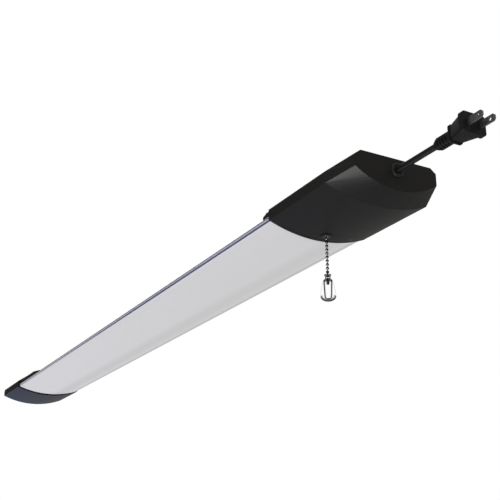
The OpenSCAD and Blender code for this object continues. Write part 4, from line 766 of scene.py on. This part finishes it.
bushing_front = bushing_high.x
recess_floor = bushing_front - recess_depth
bushing_outline = [
    bushing_point(bushing_low.x, cord_bore),
    bushing_point(bushing_low.x, barrel_radius - edge_break),
    bushing_point(bushing_low.x + edge_break, barrel_radius),
    bushing_point(flange_back, barrel_radius),
    bushing_point(flange_back, flange_radius),
    *(
        bushing_point(
            bushing_front - flange_round * (1 - sin(pi / 2 * k / flange_steps)),
            flange_radius - flange_round * (1 - cos(pi / 2 * k / flange_steps)),
        )
        for k in range(flange_steps + 1)
    ),
    bushing_point(bushing_front - recess_lip, recess_radius + 2 * recess_lip),
    bushing_point(recess_floor, recess_radius - edge_break),
    bushing_point(recess_floor, cord_bore + edge_break),
    bushing_point(recess_floor - edge_break, cord_bore),
]
bushing_shape = spin_profile(bushing_outline, (1, 0, 0), (0, 0, cord_exit[2]))
bushing = keep_mesh(bushing_shape, "bushing_with_flange", [nut_finish])
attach(bushing, "fixture")
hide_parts("cord_bushing")


# ---- Pull chain ----
# Ball chain: hollow beads pressed from strip round the heads of short links, of
# dark nickel-plated metal. The bead at the switch's mouth is the joint it swings on.
chain_finish = new_finish(
    "chain_dark_nickel", (0.035, 0.035, 0.037), 0.34, metallic=0.9, specular=0.2
)
tumbling = noise(chain_finish, 2200, detail=3)
mottle(chain_finish, tumbling, (0.025, 0.025, 0.027), (0.055, 0.055, 0.058), 0.28, 0.42)
grain(chain_finish, tumbling, 0.00002, 0.4)
dress(
    chain_finish, "upper_chain_beads", "upper_chain_links", "pivot_bead", "chain_beads",
    "chain_links",
)


# ---- Bell knob ----
# Moulded from clear plastic: a collar, a neck, a shoulder, a flaring skirt and a
# rounded foot, round a hollow core. It hangs on the chain's end bead.
bell_low, bell_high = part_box("bell_knob")
bell_x, bell_y = (bell_low.x + bell_high.x) / 2, (bell_low.y + bell_high.y) / 2
bell_radius = (bell_high.x - bell_low.x) / 2
bell_top, bell_bottom = bell_high.z, bell_low.z
collar_radius, collar_height = 0.0033, 0.001
neck_radius, neck_drop, neck_flare = 0.0027, 0.0052, 0.0008
shoulder_radius, shoulder_inset, shoulder_drop = 0.0045, 0.0005, 0.0006
foot_height, foot_steps, skirt_steps = 0.0046, 12, 16
skirt_top = bell_top - neck_drop - shoulder_drop
flare = bell_bottom + foot_height

end_bead_drop, bead_pitch = 0.0087, 0.0038
bead_seat = bell_top - end_bead_drop + bead_pitch
bore_radius, link_hole, link_hole_drop = 0.0018, 0.00055, 0.00172
boss_radius, boss_height, boss_fillet = 0.0017, 0.0012, 0.0002
core_radius, core_roof = 0.0044, skirt_top - 0.0001
core_low_radius, core_floor = 0.0037, bell_bottom + 0.0022
roof_rounding = ((0.0008, 0), (0.0002, 0.0004), (0, 0.0012))
floor_rounding = ((0, 0.0026), (0.0004, 0.0013), (0.0014, 0.0004))


def bell_point(radius, z):
    """A point of the outline, so far from the bell's axis."""
    return (bell_x + radius, bell_y, z)


def foot_point(turn):
    """A point of the rounded foot, from 0 under the axis to a right angle at the skirt."""
    return bell_point(bell_radius * sin(turn), flare - foot_height * cos(turn))


def skirt_point(share):
    """A point of the skirt, from 0 at the foot to 1 at the shoulder."""
    spread = sin(pi / 2 * (1 - share))
    return bell_point(
        shoulder_radius + (bell_radius - shoulder_radius) * spread,
        flare + (skirt_top - flare) * share,
    )


def seat_point(turn):
    """A point of the round seat for the chain's last bead but one."""
    return bell_point(bore_radius * cos(turn), bead_seat - bore_radius * sin(turn))


outside = [
    bell_point(0, bell_bottom),
    *(foot_point(pi / 2 / foot_steps * k) for k in range(1, foot_steps)),
    *(skirt_point(k / skirt_steps) for k in range(skirt_steps + 1)),
    bell_point(shoulder_radius - shoulder_inset, bell_top - neck_drop),
    bell_point(neck_radius, bell_top - neck_drop + neck_flare),
    bell_point(neck_radius, bell_top - collar_height - (collar_radius - neck_radius)),
    bell_point(collar_radius, bell_top - collar_height),
    bell_point(collar_radius, bell_top),
    bell_point(bore_radius, bell_top),
]
inside = [
    *(seat_point(pi / 12 * k) for k in range(5)),
    bell_point(link_hole, bead_seat - link_hole_drop),
    bell_point(link_hole, core_roof - boss_height),
    bell_point(boss_radius, core_roof - boss_height),
    bell_point(boss_radius + boss_fillet, core_roof),
    *(bell_point(core_radius - inset, core_roof - drop) for inset, drop in roof_rounding),
    *(bell_point(core_low_radius - inset, core_floor + rise) for inset, rise in floor_rounding),
    bell_point(0, core_floor),
]
bell_shape = spin_profile(outside + inside, (0, 0, 1), (bell_x, bell_y, 0), closed=False)

skirt, core, foot, neck = range(4)
foot_band, floor_margin = 0.0015, 0.0001
for face in bell_shape.faces:
    middle = face.calc_center_median()
    from_axis = (Vector((middle.x, middle.y)) - Vector((bell_x, bell_y))).length
    if middle.z < bell_bottom + foot_band or (middle.z < flare and from_axis > core_radius):
        face.material_index = foot
    elif middle.z > skirt_top or (from_axis < bore_radius and middle.z > core_roof - boss_height):
        face.material_index = neck
    elif from_axis < core_radius and middle.z > core_floor - floor_margin:
        face.material_index = core
    else:
        face.material_index = skirt


def clear_plastic(name, starts, ends, edge):
    """Clear plastic with a painted dark outline: its colour darkens towards its outline, standing
    in for the dark edges that refraction shows.
    """
    finish = new_finish(name, (1, 1, 1), 0.03, specular=0.5)
    shader_of(finish).inputs["Transmission Weight"].default_value = 1.0
    shader_of(finish).inputs["IOR"].default_value = 1.03
    facing = add_node(finish, "ShaderNodeLayerWeight", Blend=0.5).outputs["Facing"]
    share = span(finish, facing, starts, ends)
    wire(finish, blend_colours(finish, share, (0.99, 0.99, 0.99), edge), "Base Color")
    grain(finish, noise(finish, 600, detail=1), 0.00002, 0.3)
    return finish


# Each part's dark outline is painted shade, standing in for the dark edges that refraction shows;
# the core, foot and neck get the darkest.
bell = keep_mesh(
    bell_shape, "bell_clear_body",
    [
        clear_plastic("bell_clear_skirt", 0.50, 0.90, (0.40, 0.40, 0.40)),
        clear_plastic("bell_clear_core", 0.16, 0.40, (0.03, 0.03, 0.03)),
        clear_plastic("bell_clear_foot", 0.15, 0.45, (0.02, 0.02, 0.02)),
        clear_plastic("bell_clear_neck", 0.15, 0.50, (0.02, 0.02, 0.02)),
    ],
)
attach(bell, "bell")
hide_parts("bell_knob")


# ---- Plug ----
# Moulded on the cord in black vinyl: a grooved strain relief, a collar, a tapered
# grip and a wide face, with two flat nickel-plated brass blades.
plug_low, plug_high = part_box("plug_body")
plug_start, plug_face = plug_low.x, plug_high.x
relief_radius, relief_taper, relief_tip_share = 0.0058, 0.0044, 0.655
groove_count, first_groove, groove_pitch = 4, 0.006, 0.0032
groove_depth, groove_width, groove_slope = 0.0011, 0.0014, 0.0002
collar_start, collar_length = 0.0215, 0.002
collar_size, collar_corner, grip_start = (0.0138, 0.016), 0.0026, (0.0128, 0.014)
flange_length, flange_size, flange_corner = 0.0046, (0.0244, 0.0182), 0.0032
grip_back = (0.0232, 0.0156)
blade_gap, blade_height, blade_sheet = 0.0127, 0.00635, 0.0015
blade_clearance, blade_slot_depth = 0.0001, 0.008
loop_sides = 32


def across_plug(x):
    """Turns a flat shape upright and moves it along the plug's axis."""
    return Matrix.Translation((x, 0, cord_exit[2])) @ Matrix.Rotation(pi / 2, 4, "Y")


def added(elements, before):
    """What a step has added to a shape's vertices, edges or faces, in its order."""
    return [element for element in elements if element not in before]


def ring_of(shape, x, radius):
    """A round loop of edges across the plug."""
    before = set(shape.edges)
    bmesh.ops.create_circle(
        shape, cap_ends=False, segments=loop_sides, radius=radius, matrix=across_plug(x)
    )
    return added(shape.edges, before)


def slab_loop(shape, x, size, corner):
    """A loop across the plug, round at a rectangle's four corners."""
    old_verts, old_edges, old_faces = set(shape.verts), set(shape.edges), set(shape.faces)
    made = bmesh.ops.create_grid(shape, x_segments=1, y_segments=1, size=0.5)
    bmesh.ops.scale(shape, vec=(size[1], size[0], 1), verts=made["verts"])
    if corner:
        bmesh.ops.bevel(
            shape, geom=made["verts"], offset=corner, offset_type="OFFSET", affect="VERTICES",
            segments=loop_sides // 4 - 1, profile=0.5, material=-1,
        )
    bmesh.ops.delete(shape, geom=added(shape.faces, old_faces), context="FACES_ONLY")
    bmesh.ops.transform(shape, matrix=across_plug(x), verts=added(shape.verts, old_verts))
    return added(shape.edges, old_edges)


plug_shape = bmesh.new()
loops = [
    ring_of(plug_shape, plug_start, relief_radius * relief_tip_share),
    ring_of(plug_shape, plug_start + relief_taper, relief_radius),
]
groove_profile = (
    (0, 0), (groove_slope, groove_depth), (groove_width - groove_slope, groove_depth),
    (groove_width, 0),
)
for k in range(groove_count):
    groove = plug_start + first_groove + groove_pitch * k
    for place, depth in groove_profile:
        loops.append(ring_of(plug_shape, groove + place, relief_radius - depth))
collar_x = plug_start + collar_start
loops.append(ring_of(plug_shape, collar_x, relief_radius))
collar_end = collar_x + collar_length
flange_x = plug_face - flange_length
for x, size, corner in (
    (collar_x, collar_size, collar_corner),
    (collar_end, collar_size, collar_corner),
    (collar_end, grip_start, collar_corner),
    (flange_x, grip_back, flange_corner),
    (flange_x, flange_size, flange_corner),
    (plug_face, flange_size, flange_corner),
):
    loops.append(slab_loop(plug_shape, x, size, corner))
for first, second in zip(loops, loops[1:]):
    bmesh.ops.bridge_loops(plug_shape, edges=first + second)
bmesh.ops.contextual_create(plug_shape, geom=loops[0])

slot_size = (blade_sheet + blade_clearance, blade_height + blade_clearance)
face_edges = list(loops[-1])
for side in (-1, 1):
    mouth = slab_loop(plug_shape, plug_face, slot_size, 0)
    floor_of_slot = slab_loop(plug_shape, plug_face - blade_slot_depth, slot_size, 0)
    for loop in (mouth, floor_of_slot):
        verts = list({vert for edge in loop for vert in edge.verts})
        bmesh.ops.translate(plug_shape, verts=verts, vec=(0, side * blade_gap / 2, 0))
    bmesh.ops.bridge_loops(plug_shape, edges=mouth + floor_of_slot)
    bmesh.ops.contextual_create(plug_shape, geom=floor_of_slot)
    face_edges += mouth
bmesh.ops.triangle_fill(plug_shape, edges=face_edges, use_beauty=True, use_dissolve=False)

plug_finish = new_finish("plug_black_vinyl", (0.009, 0.009, 0.009), 0.4, specular=0.03)
plug_marks = noise(plug_finish, 1300, detail=3)
mottle(plug_finish, plug_marks, (0.008, 0.008, 0.008), (0.013, 0.013, 0.013), 0.34, 0.48)
grain(plug_finish, plug_marks, 0.00002, 0.4)
plug = keep_mesh(plug_shape, "plug_moulding", [plug_finish], 40)
round_edges(plug, 0.0004, 3)
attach(plug, "fixture")
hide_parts("plug_body")

blade_finish = new_finish("blade_nickel_plate", (0.16, 0.16, 0.165), 0.35, metallic=0.9)
blade_rolling = noise(blade_finish, 1500, (0.1, 1, 1), 3)
mottle(blade_finish, blade_rolling, (0.065, 0.065, 0.067), (0.12, 0.12, 0.123), 0.28, 0.44)
grain(blade_finish, blade_rolling, 0.00001, 0.5)
dress(blade_finish, "plug_blade_left", "plug_blade_right")
